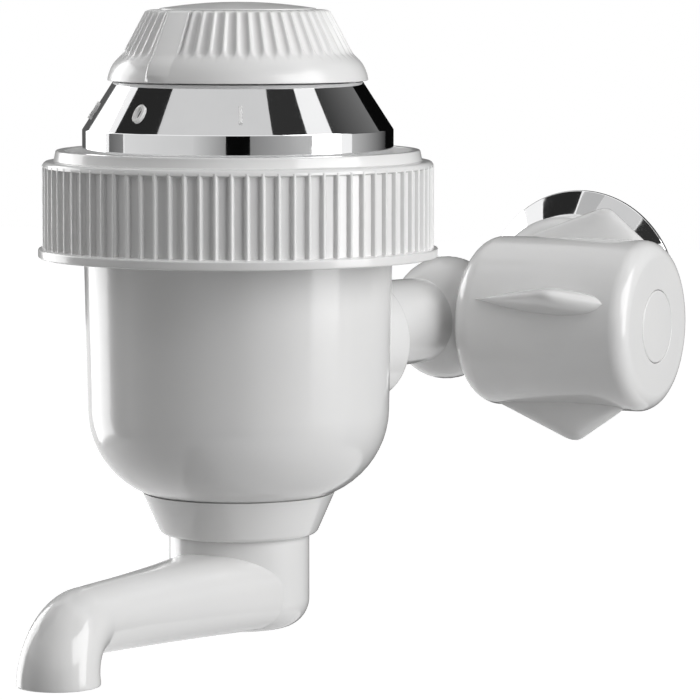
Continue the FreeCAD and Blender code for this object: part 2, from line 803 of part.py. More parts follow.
def build_spout():
    """Swivel spout with its waterway, seals and clip."""
    clip_z = cup_floor + seat_gap
    swivel_top = clip_z + clip_t + swivel_lip
    way_r = spout_tip_r - spout_wall
    spout = spout_neck().fuse(spout_run(0, spout_mouth_r)).fuse(rod(swivel_r, neck_top - 1, swivel_top))
    spout = spout.cut(spout_run(spout_wall, way_r))
    spout = spout.cut(rod(swivel_r - swivel_wall, spout_arm_z, swivel_top + 1))
    groove_r = swivel_r - swivel_groove
    spout = spout.cut(tube(swivel_r + 1, groove_r, clip_z, clip_z + clip_t + 2 * seat_gap))
    first_seal = neck_top + spout_seal_start
    places = [first_seal, first_seal + spout_seal_spacing]
    ring_r = swivel_r - ring_section_r
    for z in places:
        spout = spout.cut(tube(swivel_r + 1, ring_r - ring_section_r, z - ring_section_r, z + ring_section_r))
    insert_r = way_r + insert_shoulder
    insert_z = spout_mouth_z + insert_recess
    mouth = rod(insert_r + run_gap, spout_mouth_z - 1, insert_z + insert_t + run_gap, 0, -spout_reach)
    save("spout", at_heater(spout.cut(mouth)))
    save("spout_seals", *[at_heater(seal_ring(ring_r, ring_section_r - ring_slack, z)) for z in places])
    clip_z += seat_gap
    clip = tube(swivel_clip_r, groove_r + thread_gap, clip_z, clip_z + clip_t)
    save("spout_clip", at_heater(clip.cut(clip_mouth(swivel_r, clip_z))))
    build_insert(insert_r, insert_z)


def clip_mouth(radius, z):
    """Gap by which a retaining clip is pushed into its groove."""
    return box((clip_mouth_width, 2 * radius, 3 * clip_t), 0, radius, z - clip_t)


def build_insert(radius, z):
    """Perforated disc in the spout's mouth, with the skirt that holds it there."""
    hole = (insert_hole_r, z - 1, z + insert_t + 1)
    first, second = insert_rings
    holes = [rod(*hole)] + around(rod(*hole, first), 6) + around(rod(*hole, second), 12)
    insert = rod(radius, spout_mouth_z + insert_inset, z + insert_t).cut(Part.makeCompound(holes))
    insert = insert.cut(rod(radius - insert_skirt, spout_mouth_z, z))
    insert.translate(V(0, -spout_reach, 0))
    save("outlet_insert", at_heater(insert))


def spout_run(inset, mouth_r):
    """The spout's line: an arm that narrows, the elbow and the turned-down end; or the way inside it."""
    elbow_y = spout_elbow - spout_reach
    elbow_z = spout_tip_z - spout_elbow
    root = oval(spout_root_r - inset, spout_root_half - inset, V(0, 0, spout_arm_z))
    waist_z = spout_arm_z + (spout_tip_z - spout_arm_z) * spout_waist_y / -elbow_y
    waist = oval(spout_waist_r - inset, spout_waist_half - inset, V(0, -spout_waist_y, waist_z))
    tip = Part.Wire(Part.makeCircle(spout_tip_r - inset, V(0, elbow_y, spout_tip_z), V(0, -1, 0)))
    arm = Part.makeLoft([root, waist, tip], True, False)
    turned = V(0, -spout_reach, elbow_z)
    lean = spout_elbow * math.sqrt(0.5)
    line = Part.Arc(V(0, elbow_y, spout_tip_z), V(0, elbow_y - lean, elbow_z + lean), turned)
    mouth = Part.Wire(Part.makeCircle(mouth_r, turned, V(0, 0, -1)))
    elbow = Part.Wire(line.toShape()).makePipeShell([tip, mouth], True, True)
    return arm.fuse(elbow).fuse(rod(mouth_r, spout_mouth_z, elbow_z, 0, -spout_reach))


def oval(half_width, half_height, centre):
    """Upright oval that faces along the spout's arm."""
    curve = Part.Ellipse(centre + V(half_width, 0, 0), centre + V(0, 0, half_height), centre)
    return Part.Wire(curve.toShape())


def post_places():
    """Places (x, y) of the terminal posts: two leads for each coil."""
    angles = [math.radians(lead + extra) for lead in (warm_lead, hot_lead) for extra in (0, lead_spread)]
    return [(post_ring_r * math.cos(a), post_ring_r * math.sin(a)) for a in angles]


def coil_solid(radius, z, places):
    """One heating coil, drawn as the ring of its outer diameter, with its leads up to the posts."""
    coil = Part.makeTorus(radius, coil_tube_r, V(0, 0, z))
    for x, y in places:
        level = V(x, y, z)
        inner = V(x * radius / post_ring_r, y * radius / post_ring_r, z)
        coil = coil.fuse(rod_between(coil_lead_r - coil_lead_step, inner, level))
        coil = coil.fuse(rod(coil_lead_r, z - 2 * coil_lead_r, plate_z - post_below, x, y))
    return coil


def vents(z0, z1):
    """Water ways through the element plate and the foot under it."""
    return Part.makeCompound(around(rod(vent_r, z0, z1, vent_ring_r), vent_count, vent_turn))


def build_plate():
    """Element plate with the posts through it, its seal and the diaphragm on it."""
    seal = tube(rim_bore_r - seal_inset, cup_top_r - cup_wall + seal_inset, ledge_z, plate_z)
    save("chamber_seal", at_heater(seal))
    diaphragm_z = plate_top + seat_gap - diaphragm_t
    plate = rod(rim_bore_r - plate_gap, plate_z, plate_top)
    plate = plate.cut(rod(diaphragm_r + diaphragm_gap, diaphragm_z, plate_top + 1))
    plate = plate.cut(rod(well_r, diaphragm_z - well_depth, plate_top + 1)).cut(vents(plate_z - 1, plate_top))
    posts = []
    for x, y in post_places():
        plate = plate.cut(rod(post_r + run_gap, plate_z - 1, plate_top + 1, x, y))
        posts.append(at_heater(rod(post_r, plate_z - post_below, plate_z - post_below + post_height, x, y)))
    hole = rod(block_screw_r + run_gap, plate_z + block_screw_floor, plate_top + 1, screw_ring_r)
    plate = plate.cut(Part.makeCompound(around(hole, block_screw_count, warm_lead)))
    save("element_plate", at_heater(plate))
    save("terminal_posts", *posts)
    save("diaphragm", at_heater(rod(diaphragm_r, diaphragm_z, diaphragm_z + diaphragm_t)))


def build_coils():
    """The two heating coils and the crossed fins that hold them under the plate."""
    places = post_places()
    support = rod(support_r, fin_bottom, plate_z)
    fin = box((fin_r, fin_t, plate_z - fin_bottom), fin_r / 2, 0, fin_bottom)
    for piece in around(fin, fin_count, fin_turn):
        support = support.fuse(piece)
    for radius, z in ((warm_coil_r, warm_coil_z), (hot_coil_r, hot_coil_z)):
        support = support.cut(Part.makeTorus(radius, coil_tube_r + seat_gap, V(0, 0, z)))
    foot = rod(fin_r, plate_z - foot_t, plate_z)
    support = support.fuse(foot).cut(vents(plate_z - foot_t - 1, plate_z + 1))
    save("coil_support", at_heater(support))
    save("warm_coil", at_heater(coil_solid(warm_coil_r, warm_coil_z, places[:2])))
    save("hot_coil", at_heater(coil_solid(hot_coil_r, hot_coil_z, places[2:])))


def contact_places():
    """Places (x, y) of the four contacts."""
    return [(x, y) for x in (-contact_x, contact_x) for y in (-bridge_offset, bridge_offset)]


def block_screw(gap, z0):
    """Screw of the contact block, or its hole; standing at the front of its ring."""
    head_z = block_z + block_screw_head_z
    head_top = head_z + block_screw_head_t
    if gap > 0:
        head_top = block_top + 1
    shank = rod(block_screw_r + min(gap, run_gap), z0, head_z + 1, screw_ring_r)
    head = rod(block_screw_head_r + gap, head_z, head_top, screw_ring_r)
    return around(shank.fuse(head), block_screw_count, warm_lead)


def build_switch():
    """Contact block over the diaphragm, with its fixed contacts and screws."""
    block = rod(rim_bore_r - plate_gap, block_z, block_top)
    block = block.cut(rod(press_room_r, block_z - 1, web_z))
    block = block.cut(rod(guide_r + run_gap, web_z - 1, block_top + 1))
    block = block.cut(rod(spring_pocket_r, web_z - 1, web_z + spring_pocket))
    block = block.cut(rod(block_well_r, web_z + web_t, block_top + 1))
    stud_z = press_z + press_t + bridge_t + contact_t + plate_lift + run_gap
    stud_r = contact_r - contact_step
    studs = []
    for x, y in contact_places():
        block = block.cut(rod(stud_r + seat_gap, web_z - 1, block_top + 1, x, y))
        stud = rod(contact_r, stud_z, web_z, x, y).fuse(rod(stud_r, stud_z, block_top - post_gap, x, y))
        studs.append(at_heater(stud))
    for x, y in post_places():
        block = block.cut(rod(post_r + post_gap, block_z - 1, plate_z - post_below + post_height + 1, x, y))
    block = block.cut(Part.makeCompound(block_screw(diaphragm_gap, block_z - 1)))
    save("contact_block", at_heater(block))
    save("fixed_contacts", *studs)
    screws = block_screw(0, plate_z + block_screw_floor + plate_gap)
    save("block_screws", *[at_heater(screw) for screw in screws])


def build_pressure_plate():
    """Pressure plate on the diaphragm, its contact bridges, and the spring that returns it."""
    bridge_z = press_z + press_t
    pad_top = bridge_z + bridge_t + contact_t
    guide_top = web_z + web_t - 2 * free_gap
    press = rod(press_r, press_z, bridge_z).fuse(rod(guide_r, press_z, guide_top))
    save("pressure_plate", at_heater(press))
    bridges = []
    for y in (-bridge_offset, bridge_offset):
        bridge = box((bridge_length, bridge_width, bridge_t), 0, y, bridge_z)
        for x in (-contact_x, contact_x):
            bridge = bridge.fuse(rod(contact_r, bridge_z, pad_top, x, y))
        bridges.append(at_heater(bridge))
    save("contact_bridges", *bridges)
    low = bridge_z + seat_gap + spring_wire_r
    high = web_z + spring_pocket - seat_gap - spring_wire_r
    rings = []
    for index in range(spring_turns):
        z = low + (high - low) * index / (spring_turns - 1)
        rings.append(at_heater(seal_ring(spring_r - spring_wire_r, spring_wire_r, z)))
    save("return_spring", *rings)


def build_ring_nut():
    """Ribbed ring nut that draws the head down on the cup's rim."""
    bore = rim_r + ring_thread_gap
    lip_top = ring_bottom + ring_lip_t
    collar_z = ring_top - ring_collar_t
    shoulder = ring_r - ring_collar_r
    shoulder_z = collar_z - shoulder
    lean = shoulder * math.sqrt(0.5)
    nut = spun((bore, ring_bottom), (ring_lip_r, ring_bottom), (ring_lip_r, lip_top), (ring_r, lip_top),
               (ring_r, shoulder_z), ((ring_collar_r + lean, shoulder_z + lean), (ring_collar_r, collar_z)),
               (ring_collar_r, ring_top), (ring_opening_r, ring_top), (ring_opening_r, ring_roof_z),
               (bore, ring_roof_z))
    half = math.pi * ring_r / rib_count
    floor_r = ring_r - rib_depth
    floor_half = rib_floor * half
    mouth_half = rib_mouth * half
    groove = prism([(floor_r, -floor_half), (floor_r, floor_half), (ring_r + 1, mouth_half),
                    (ring_r + 1, -mouth_half)], lip_top + rib_margin, shoulder_z)
    save("ring_nut", at_heater(nut.cut(Part.makeCompound(around(groove, rib_count)))))


def head_points(offset):
    """Outer points of the head's band and cone, moved inward by the offset."""
    return [(band_r - offset, cone_z), (cone_top_r - offset, cone_top)]


def build_head():
    """Top cover with the bush for the shaft, and the chrome bezel over it."""
    skin = bezel_t + seat_gap
    foot_r = band_r - skin
    low, high = head_points(skin)
    lip_r = cone_top_r - bezel_edge_t - seat_gap
    bush_bore_r = shaft_r + run_gap
    roof = cover_top - cover_wall
    cover = spun((rim_r, block_top), (rim_r, cover_step_z), (cover_step_r, cover_step_z),
                 (cover_step_r, band_z - seat_gap), (foot_r, band_z - seat_gap), low, high,
                 (lip_r, cone_top), (lip_r, cone_top + cover_edge), (lip_r - cover_lip_run, cover_top),
                 (bush_bore_r, cover_top), (bush_bore_r, bush_z), (bush_r, bush_z), (bush_r, roof),
                 (high[0] - cover_wall, roof), (low[0] - cover_wall, cone_z),
                 (foot_r - cover_wall, block_top))
    edge_r = cone_top_r - bezel_edge_t
    low, high = head_points(bezel_t)
    edge_z = cone_top - seat_gap
    bezel = spun((band_r, band_z), *head_points(0), (edge_r, cone_top), (edge_r, edge_z), (high[0], edge_z),
                 low, (low[0], band_z))
    hole = rod(grommet_r + run_gap, band_r / 2, band_r + grommet_length)
    hole = placed(hole, heater + V(0, 0, grommet_z), to_valve)
    save("top_cover", at_heater(cover).cut(hole))
    save("bezel", at_heater(bezel).cut(hole))


def build_cable_inlet():
    """Grommet for the supply cable in the back of the head, and the terminal block behind it."""
    flange_z = band_r + plate_gap
    flange_end = flange_z + grommet_flange_t
    grommet = rod(grommet_r, flange_end - grommet_length, flange_z + 1)
    grommet = grommet.fuse(rod(grommet_flange_r, flange_z, flange_end))
    grommet = grommet.cut(rod(cable_r, 0, flange_end + 1))
    save("cable_grommet", placed(grommet, heater + V(0, 0, grommet_z), to_valve))

    width, depth, height = terminal_size
    floor = web_z + web_t
    y = block_well_r - depth / 2 - terminal_room
    block = box(terminal_size, 0, y, floor)
    for x in (-width / 3, 0, width / 3):
        block = block.cut(rod(terminal_hole_r, floor + height / 4, floor + height + 1, x, y))
    save("terminal_block", at_heater(block, dial_turn))


def knob_outline(offset, floor_z, roof_z):
    """Solid inside the knob's outline, moved inward by the offset."""
    skirt_r = knob_skirt_r - offset
    waist_r = knob_waist_r - offset
    crown_r = knob_crown_r - offset
    sweep_r = (skirt_r + waist_r) / 2 + knob_sweep
    sweep_z = knob_z + (knob_skirt_height + knob_waist_height) / 2 + knob_sweep
    crown_z = min(knob_z + knob_side_height, roof_z - seat_gap)
    return spun((0, floor_z), (skirt_r, floor_z), (skirt_r, knob_z + knob_skirt_height),
                ((sweep_r, sweep_z), (waist_r, knob_z + knob_waist_height)), (crown_r, crown_z),
                (crown_r - knob_crown_edge, roof_z), (0, roof_z))


def knob_flutes():
    """Grooves round the knob's side, left out where the pointer stands."""
    side = V(knob_crown_r - knob_waist_r, 0, knob_side_height - knob_waist_height)
    low = V(knob_waist_r + flute_r - flute_depth, 0, knob_z + knob_waist_height + free_gap)
    flute = Part.makeCylinder(flute_r, side.Length + 2 * flute_r, low, side)
    pitch = 360.0 / flute_count
    left_out = round(pointer_flutes / 2)
    flutes = around(flute, flute_count, -90 + pitch / 2)
    return Part.makeCompound(flutes[left_out:flute_count - left_out])


def knob_pointer(roof_z):
    """Raised wedge on the knob's front that shows the setting."""
    half = pointer_width / 2
    front = -knob_skirt_r - 1
    lifted = knob_outline(-pointer_rise, knob_z, roof_z)
    wedge = prism([(-half, front), (half, front), (half / 2, -knob_cap_r), (-half / 2, -knob_cap_r)],
                  knob_z, roof_z)
    return lifted.common(wedge).common(rod(knob_skirt_r, knob_z, roof_z))


def build_knob():
    """Selector knob with its cap and screw."""
    roof_z = knob_z + knob_height - knob_dome
    knob = knob_outline(0, knob_z, roof_z).cut(knob_flutes()).fuse(knob_pointer(roof_z))
    room = knob_outline(knob_wall, knob_z - 1, roof_z - knob_wall)
    knob = knob.cut(room.cut(rod(knob_hub_r, knob_z - 2, roof_z)))
    knob = knob.cut(rod(shaft_r + run_gap, knob_z - 1, shaft_top + seat_gap))
    head_z = roof_z - knob_wall - knob_screw_sink
    plug_r = knob_cap_r - knob_cap_step
    cap_floor = roof_z - knob_cap_plug
    knob = knob.cut(rod(screw_r + screw_hole_gap, knob_z, roof_z + 1))
    knob = knob.cut(rod(screw_head_r + screw_hole_gap, head_z, roof_z + 1))
    knob = knob.cut(rod(plug_r, cap_floor, roof_z + 1))
    save("selector_knob", at_heater(knob, dial_turn))

    rest = roof_z + run_gap
    edge_z = rest + knob_cap_edge
    dome_z = knob_z + knob_height
    rise = dome_z - edge_z
    sphere_r = (knob_cap_r ** 2 + rise ** 2) / (2 * rise)
    half_z = dome_z - sphere_r + math.sqrt(sphere_r ** 2 - knob_cap_r ** 2 / 4)
    cap = spun((0, cap_floor + run_gap), (plug_r - run_gap, cap_floor + run_gap), (plug_r - run_gap, rest),
               (knob_cap_r, rest), (knob_cap_r, edge_z), ((knob_cap_r / 2, half_z), (0, dome_z)))
    save("knob_cap", at_heater(cap))
    screw = rod(screw_r - run_gap, shaft_top - screw_hold + 1, head_z + 1)
    save("knob_screw", at_heater(screw.fuse(rod(screw_head_r, head_z, head_z + screw_head_t))))


def build_selector_shaft():
    """Shaft that the knob turns, its retaining clip, and the cam with the contact under it."""
    clip_z = bush_z - free_gap - clip_t
    groove_r = shaft_r - clip_groove
    shaft = rod(shaft_r, cam_z, shaft_top)
    shaft = shaft.cut(tube(shaft_r + 1, groove_r, clip_z - run_gap, clip_z + clip_t + run_gap))
    shaft = shaft.cut(rod(screw_r + thread_gap, shaft_top - screw_hold, shaft_top + 1))
    save("selector_shaft", at_heater(shaft))
    clip = tube(clip_r, groove_r + thread_gap, clip_z, clip_z + clip_t)
    save("shaft_clip", at_heater(clip.cut(clip_mouth(clip_r, clip_z)), dial_turn))
    cam_top = cam_z + cam_t
    cam = rod(cam_r, cam_z, cam_top).cut(rod(shaft_r + thread_gap, cam_z - 1, cam_top + 1))
    notch = rod(cam_notch_r, cam_z - 1, cam_top + 1, cam_r + cam_notch_r / 2)
    cam = cam.cut(Part.makeCompound(around(notch, cam_notch_count, -90)))
    save("selector_cam", at_heater(cam, dial_turn))
    wiper = box((wiper_length, wiper_width, wiper_t), 0, 0, cam_z - wiper_t)
    save("cam_contact", at_heater(wiper, dial_turn))


def main():
    """Builds and writes every sub-part."""
    os.makedirs("parts", exist_ok=True)
    build_flange()
    build_valve_body()
    build_arm_fittings()
    build_valve_works()
    build_handle()
    build_cup()
    build_spout()
    build_plate()
    build_coils()
    build_switch()
    build_pressure_plate()
    build_ring_nut()
    build_head()
    build_cable_inlet()
    build_knob()
    build_selector_shaft()


main()
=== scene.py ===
import json
import math

import bmesh
import bpy
from mathutils import Matrix, Vector


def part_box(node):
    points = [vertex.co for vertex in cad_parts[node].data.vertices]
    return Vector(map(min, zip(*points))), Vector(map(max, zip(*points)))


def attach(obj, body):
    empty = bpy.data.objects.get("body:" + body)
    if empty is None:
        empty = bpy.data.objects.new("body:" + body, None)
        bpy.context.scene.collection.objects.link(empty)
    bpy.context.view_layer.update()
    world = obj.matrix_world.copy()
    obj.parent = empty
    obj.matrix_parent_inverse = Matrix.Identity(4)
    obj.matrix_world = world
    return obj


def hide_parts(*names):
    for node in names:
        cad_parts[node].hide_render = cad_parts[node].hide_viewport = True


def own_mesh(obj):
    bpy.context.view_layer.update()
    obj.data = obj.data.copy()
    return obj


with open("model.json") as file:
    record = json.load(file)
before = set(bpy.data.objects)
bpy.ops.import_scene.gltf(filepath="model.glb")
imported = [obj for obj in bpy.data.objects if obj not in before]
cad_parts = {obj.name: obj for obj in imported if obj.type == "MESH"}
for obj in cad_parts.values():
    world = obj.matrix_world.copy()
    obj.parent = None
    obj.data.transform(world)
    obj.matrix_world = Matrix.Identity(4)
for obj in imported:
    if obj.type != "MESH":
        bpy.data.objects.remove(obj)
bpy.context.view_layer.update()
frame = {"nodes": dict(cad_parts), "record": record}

# Electric tap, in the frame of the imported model: the wall is the plane y = 0, +Z is up, and the heater
# hangs in front of the wall. The frame is in metres. The sizes of the tap and the camera's place are in
# millimetres, and MM makes metres of them. Lamps, boards and floor are given in metres.
MM = 0.001
nodes = frame["nodes"]


def middle(node):
    """Centre of a node's box."""
    low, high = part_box(node)
    return (low + high) / 2


# Places, read from the frame
ring_low, ring_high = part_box("ring_nut")
bezel_low, bezel_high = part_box("bezel")
cover_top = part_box("top_cover")[1].z
knob_low, knob_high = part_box("selector_knob")
cap_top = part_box("knob_cap")[1].z
handle_low, handle_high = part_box("handle")
flange_low, flange_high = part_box("wall_flange")
heater = Vector((middle("ring_nut").x, middle("ring_nut").y, 0))
valve = Vector((0, middle("handle").y, 0))
arm_reach = (heater - valve).length
arm_dir = (heater - valve).normalized()
arm_turn = math.atan2(-arm_dir.x, -arm_dir.y)

# Frames of the parts of the tap: each one's own +Z is the axis that it is turned about
on_heater = Matrix.Translation(heater)
on_dial = on_heater @ Matrix.Rotation(-arm_turn, 4, "Z")
on_handle = Matrix.Translation(valve) @ Matrix.Rotation(math.pi / 2, 4, "Y")
from_wall = Matrix.Rotation(math.pi / 2, 4, "X")
on_arm = Matrix.Translation(valve) @ arm_dir.to_track_quat("Z", "Y").to_matrix().to_4x4()
on_cable = on_heater @ Matrix.Translation((0, 0, middle("cable_grommet").z)) @ (
    (-arm_dir).to_track_quat("Z", "Y").to_matrix().to_4x4())

# Faces round a turned piece
SMALL_STEPS = 96
MIDDLE_STEPS = 128
STEPS = 160
LARGE_STEPS = 192
MIRROR_STEPS = 256

# Faces on a rounded corner: so many to a millimetre, within two limits
CORNER_STEPS = 2.5
FEWEST_CORNER_STEPS = 3
MOST_CORNER_STEPS = 14

CREASE = math.radians(32)   # an edge sharper than this stays sharp
WELD = 0.002            # points nearer to each other than this become one
NEAR = 0.01             # how far a point may be from the height or radius that it is picked by
OVAL = 2                # power of a lofted ring that is a plain circle or oval


def outline(mesh, points, closed):
    """Wire of (radius, height) points in millimetres; a third number rounds that corner off."""
    verts = [mesh.verts.new((p[0] * MM, 0, p[1] * MM)) for p in points]
    pairs = list(zip(verts, verts[1:]))
    if closed:
        pairs.append((verts[-1], verts[0]))
    for start, end in pairs:
        mesh.edges.new((start, end))
    for vert, point in zip(verts, points):
        if len(point) > 2:
            steps = max(FEWEST_CORNER_STEPS, min(MOST_CORNER_STEPS, round(point[2] * CORNER_STEPS)))
            bmesh.ops.bevel(mesh, geom=[vert], offset=point[2] * MM, offset_type="OFFSET", segments=steps,
                            profile=0.5, affect="VERTICES", material=-1)


def turned(points, closed=False, steps=STEPS, place=None):
    """A turned solid: the outline, spun about Z, then put in its place."""
    mesh = bmesh.new()
    outline(mesh, points, closed)
    bmesh.ops.spin(mesh, geom=mesh.verts[:] + mesh.edges[:], cent=(0, 0, 0), axis=(0, 0, 1),
                   angle=2 * math.pi, steps=steps, use_merge=True)
    bmesh.ops.remove_doubles(mesh, verts=mesh.verts, dist=WELD * MM)
    bmesh.ops.recalc_face_normals(mesh, faces=mesh.faces)
    if place is not None:
        mesh.transform(place)
    return mesh


def lofted(rings, steps):
    """A solid through a row of unit circles, each put in its place by its own matrix, after it is drawn out
    towards a square by its power."""
    mesh = bmesh.new()
    loops = []
    for place, power in rings:
        verts = bmesh.ops.create_circle(mesh, segments=steps, radius=1.0, cap_ends=False)["verts"]
        for vert in verts:
            vert.co *= (abs(vert.co.x) ** power + abs(vert.co.y) ** power) ** (-1 / power)
        bmesh.ops.transform(mesh, matrix=place, verts=verts)
        loops.append(verts)
    for first, second in zip(loops, loops[1:]):
        both = set(first + second)
        edges = {e for v in both for e in v.link_edges if e.other_vert(v) in both and len(e.link_faces) < 2}
        bmesh.ops.bridge_loops(mesh, edges=list(edges))
    for loop in (loops[0], loops[-1]):
        bmesh.ops.contextual_create(mesh, geom=loop)
    bmesh.ops.recalc_face_normals(mesh, faces=mesh.faces)
    return mesh


def rounded(mesh, edges, radius):
    """Rounds edges of the mesh off, with three faces across each."""
    bmesh.ops.bevel(mesh, geom=edges, offset=radius * MM, offset_type="OFFSET", segments=3, profile=0.5,
                    affect="EDGES", material=-1)
    bmesh.ops.recalc_face_normals(mesh, faces=mesh.faces)


def grown(mesh, faces):
    """Extrudes the faces, and gives the points of their copies."""
    made = bmesh.ops.extrude_face_region(mesh, geom=faces)
    return [v for v in made["geom"] if isinstance(v, bmesh.types.BMVert)]


def joined(*meshes):
    """One mesh of several, as closed shells side by side."""
    whole = bmesh.new()
    for mesh in meshes:
        shell = bpy.data.meshes.new("shell")
        mesh.to_mesh(shell)
        whole.from_mesh(shell)
        mesh.free()
        bpy.data.meshes.remove(shell)
    return whole


def shown(name, mesh):
    """Makes an object of the mesh."""
    data = bpy.data.meshes.new(name)
    mesh.to_mesh(data)
    mesh.free()
    made = bpy.data.objects.new(name, data)
    bpy.context.scene.collection.objects.link(made)
    return made


def drilled(mesh, place, radius, start, end):
    """The mesh with a round hole cut along the place's own +Z, between two distances from it."""
    drill = bmesh.new()
    bmesh.ops.create_cone(drill, segments=64, radius1=radius * MM, radius2=radius * MM,
                          depth=(end - start) * MM, cap_ends=True,
                          matrix=place @ Matrix.Translation((0, 0, (start + end) / 2 * MM)))
    blank = shown("blank", mesh)
    tool = shown("drill", drill)
    cut = blank.modifiers.new("hole", "BOOLEAN")
    cut.object = tool
    cut.operation = "DIFFERENCE"
    cut.solver = "EXACT"
    bpy.context.view_layer.update()
    finished = blank.evaluated_get(bpy.context.evaluated_depsgraph_get())
    made = bmesh.new()
    made.from_mesh(finished.to_mesh())
    finished.to_mesh_clear()
    for spare in (blank, tool):
        data = spare.data
        bpy.data.objects.remove(spare)
        bpy.data.meshes.remove(data)
    return made


def piece(name, mesh, material, body, replaces=()):
    """Makes an object of the mesh, smooth but for its creases, and sets it in the frame."""
    for face in mesh.faces:
        face.smooth = True
    for edge in mesh.edges:
        edge.smooth = edge.calc_face_angle(0) < CREASE
    made = shown(name, mesh)
    made.data.materials.append(material)
    weights = made.modifiers.new("weights", "WEIGHTED_NORMAL")
    weights.keep_sharp = True
    weights.weight = 100
    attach(made, body)
    if replaces:
        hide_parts(*replaces)
    return made


# Materials


def new_material(name):
    """A new material, with its nodes and its shader."""
    material = bpy.data.materials.new(name)
    material.use_nodes = True
    tree = material.node_tree
    return material, tree, tree.nodes["Principled BSDF"]


def patterned(name):
    """The same, with the object's own coordinates for its patterns."""
    material, tree, shader = new_material(name)
    where = tree.nodes.new("ShaderNodeTexCoord")
    return material, tree, shader, where.outputs["Object"]


def noise(tree, where, scale, detail):
    """Noise pattern of about scale features to a metre."""
    made = tree.nodes.new("ShaderNodeTexNoise")
    made.inputs["Scale"].default_value = scale
    made.inputs["Detail"].default_value = detail
    tree.links.new(where, made.inputs["Vector"])
    return made.outputs["Fac"]


def spread(tree, pattern, low, high):
    """Maps a pattern's middle half to the range given."""
    made = tree.nodes.new("ShaderNodeMapRange")
    made.inputs["From Min"].default_value = 0.25
    made.inputs["From Max"].default_value = 0.75
    made.inputs["To Min"].default_value = low
    made.inputs["To Max"].default_value = high
    tree.links.new(pattern, made.inputs["Value"])
    return made.outputs["Result"]


def blend(tree, pattern, first, second):
    """Mixes two colours by a pattern."""
    made = tree.nodes.new("ShaderNodeMix")
    made.data_type = "RGBA"
    made.inputs["A"].default_value = (*first, 1)
    made.inputs["B"].default_value = (*second, 1)
    tree.links.new(pattern, made.inputs["Factor"])
    return made.outputs["Result"]


def bumps(tree, pattern, depth, shader):
    """Raises the surface by a pattern, up to the depth in millimetres."""
    made = tree.nodes.new("ShaderNodeBump")
    made.inputs["Distance"].default_value = depth * MM
    tree.links.new(pattern, made.inputs["Height"])
    tree.links.new(made.outputs["Normal"], shader.inputs["Normal"])


def gloss_white(name, tone=0.80, roughness=0.14):
    """White moulded plastic: faint flow clouds, uneven polish and a trace of mould texture."""
    material, tree, shader, where = patterned(name)
    clouds = spread(tree, noise(tree, where, scale=38, detail=3), 0, 1)
    warm = (tone * 1.004, tone, tone * 0.994)
    dim = (tone * 0.972, tone * 0.972, tone * 0.972)
    tree.links.new(blend(tree, clouds, dim, warm), shader.inputs["Base Color"])
    polish = spread(tree, noise(tree, where, scale=95, detail=4), roughness * 0.8, roughness * 1.25)
    tree.links.new(polish, shader.inputs["Roughness"])
    bumps(tree, noise(tree, where, scale=420, detail=1), 0.012, shader)
    return material


def polished_chrome(name):
    """Bright plating with faint haze and hairlines."""
    material, tree, shader, where = patterned(name)
    shader.inputs["Metallic"].default_value = 1.0
    haze = spread(tree, noise(tree, where, scale=120, detail=5), 0, 1)
    tree.links.new(blend(tree, haze, (0.86, 0.865, 0.87), (0.9, 0.9, 0.905)), shader.inputs["Base Color"])
    polish = spread(tree, noise(tree, where, scale=300, detail=5), 0.025, 0.06)
    tree.links.new(polish, shader.inputs["Roughness"])
    bumps(tree, noise(tree, where, scale=160, detail=2), 0.006, shader)
    return material


def metal(name, first, second, roughness, scale):
    """Turned or drawn metal: tone and roughness vary in fine streaks."""
    material, tree, shader, where = patterned(name)
    shader.inputs["Metallic"].default_value = 1.0
    streaks = spread(tree, noise(tree, where, scale, detail=6), 0, 1)
    tree.links.new(blend(tree, streaks, first, second), shader.inputs["Base Color"])
    grain = spread(tree, noise(tree, where, scale * 2.2, detail=4), roughness * 0.8, roughness * 1.3)
    tree.links.new(grain, shader.inputs["Roughness"])
    bumps(tree, noise(tree, where, scale * 3, detail=3), 0.01, shader)
    return material


def matt(name, first, second, roughness, scale):
    """Rubber or unpolished plastic, with a fine grain."""
    material, tree, shader, where = patterned(name)
    patches = spread(tree, noise(tree, where, scale, detail=4), 0, 1)
    tree.links.new(blend(tree, patches, first, second), shader.inputs["Base Color"])
    grain = spread(tree, noise(tree, where, scale * 3, detail=3), roughness * 0.85, roughness * 1.15)
    tree.links.new(grain, shader.inputs["Roughness"])
    bumps(tree, noise(tree, where, scale * 12, detail=2), 0.03, shader)
    return material


white = gloss_white("white_plastic")
enamel = gloss_white("numeral_enamel", tone=0.85, roughness=0.35)
knob_white = gloss_white("knob_plastic", tone=0.82, roughness=0.2)
spout_white = gloss_white("spout_plastic", roughness=0.12)
chrome = polished_chrome("chrome")
brass = metal("brass", (0.68, 0.49, 0.22), (0.78, 0.6, 0.32), roughness=0.28, scale=90)
steel = metal("drawn_steel", (0.5, 0.5, 0.51), (0.64, 0.64, 0.65), roughness=0.3, scale=140)
rubber = matt("black_rubber", (0.035, 0.035, 0.036), (0.06, 0.06, 0.062), roughness=0.65, scale=60)
inner_plastic = matt("inner_plastic", (0.66, 0.65, 0.62), (0.74, 0.73, 0.7), roughness=0.5, scale=45)

FINISHES = {"white_plastic": white, "chrome": chrome, "brass": brass, "rubber": rubber, "steel": steel,
            "inner_plastic": inner_plastic}


def dress_nodes():
    """Gives each node of the frame the finish of its own slot."""
    for part in frame["record"]["subparts"]:
        data = nodes[part["node"]].data
        data.materials.clear()
        data.materials.append(FINISHES[part["material_slot"]])


# Heater cup and its collar

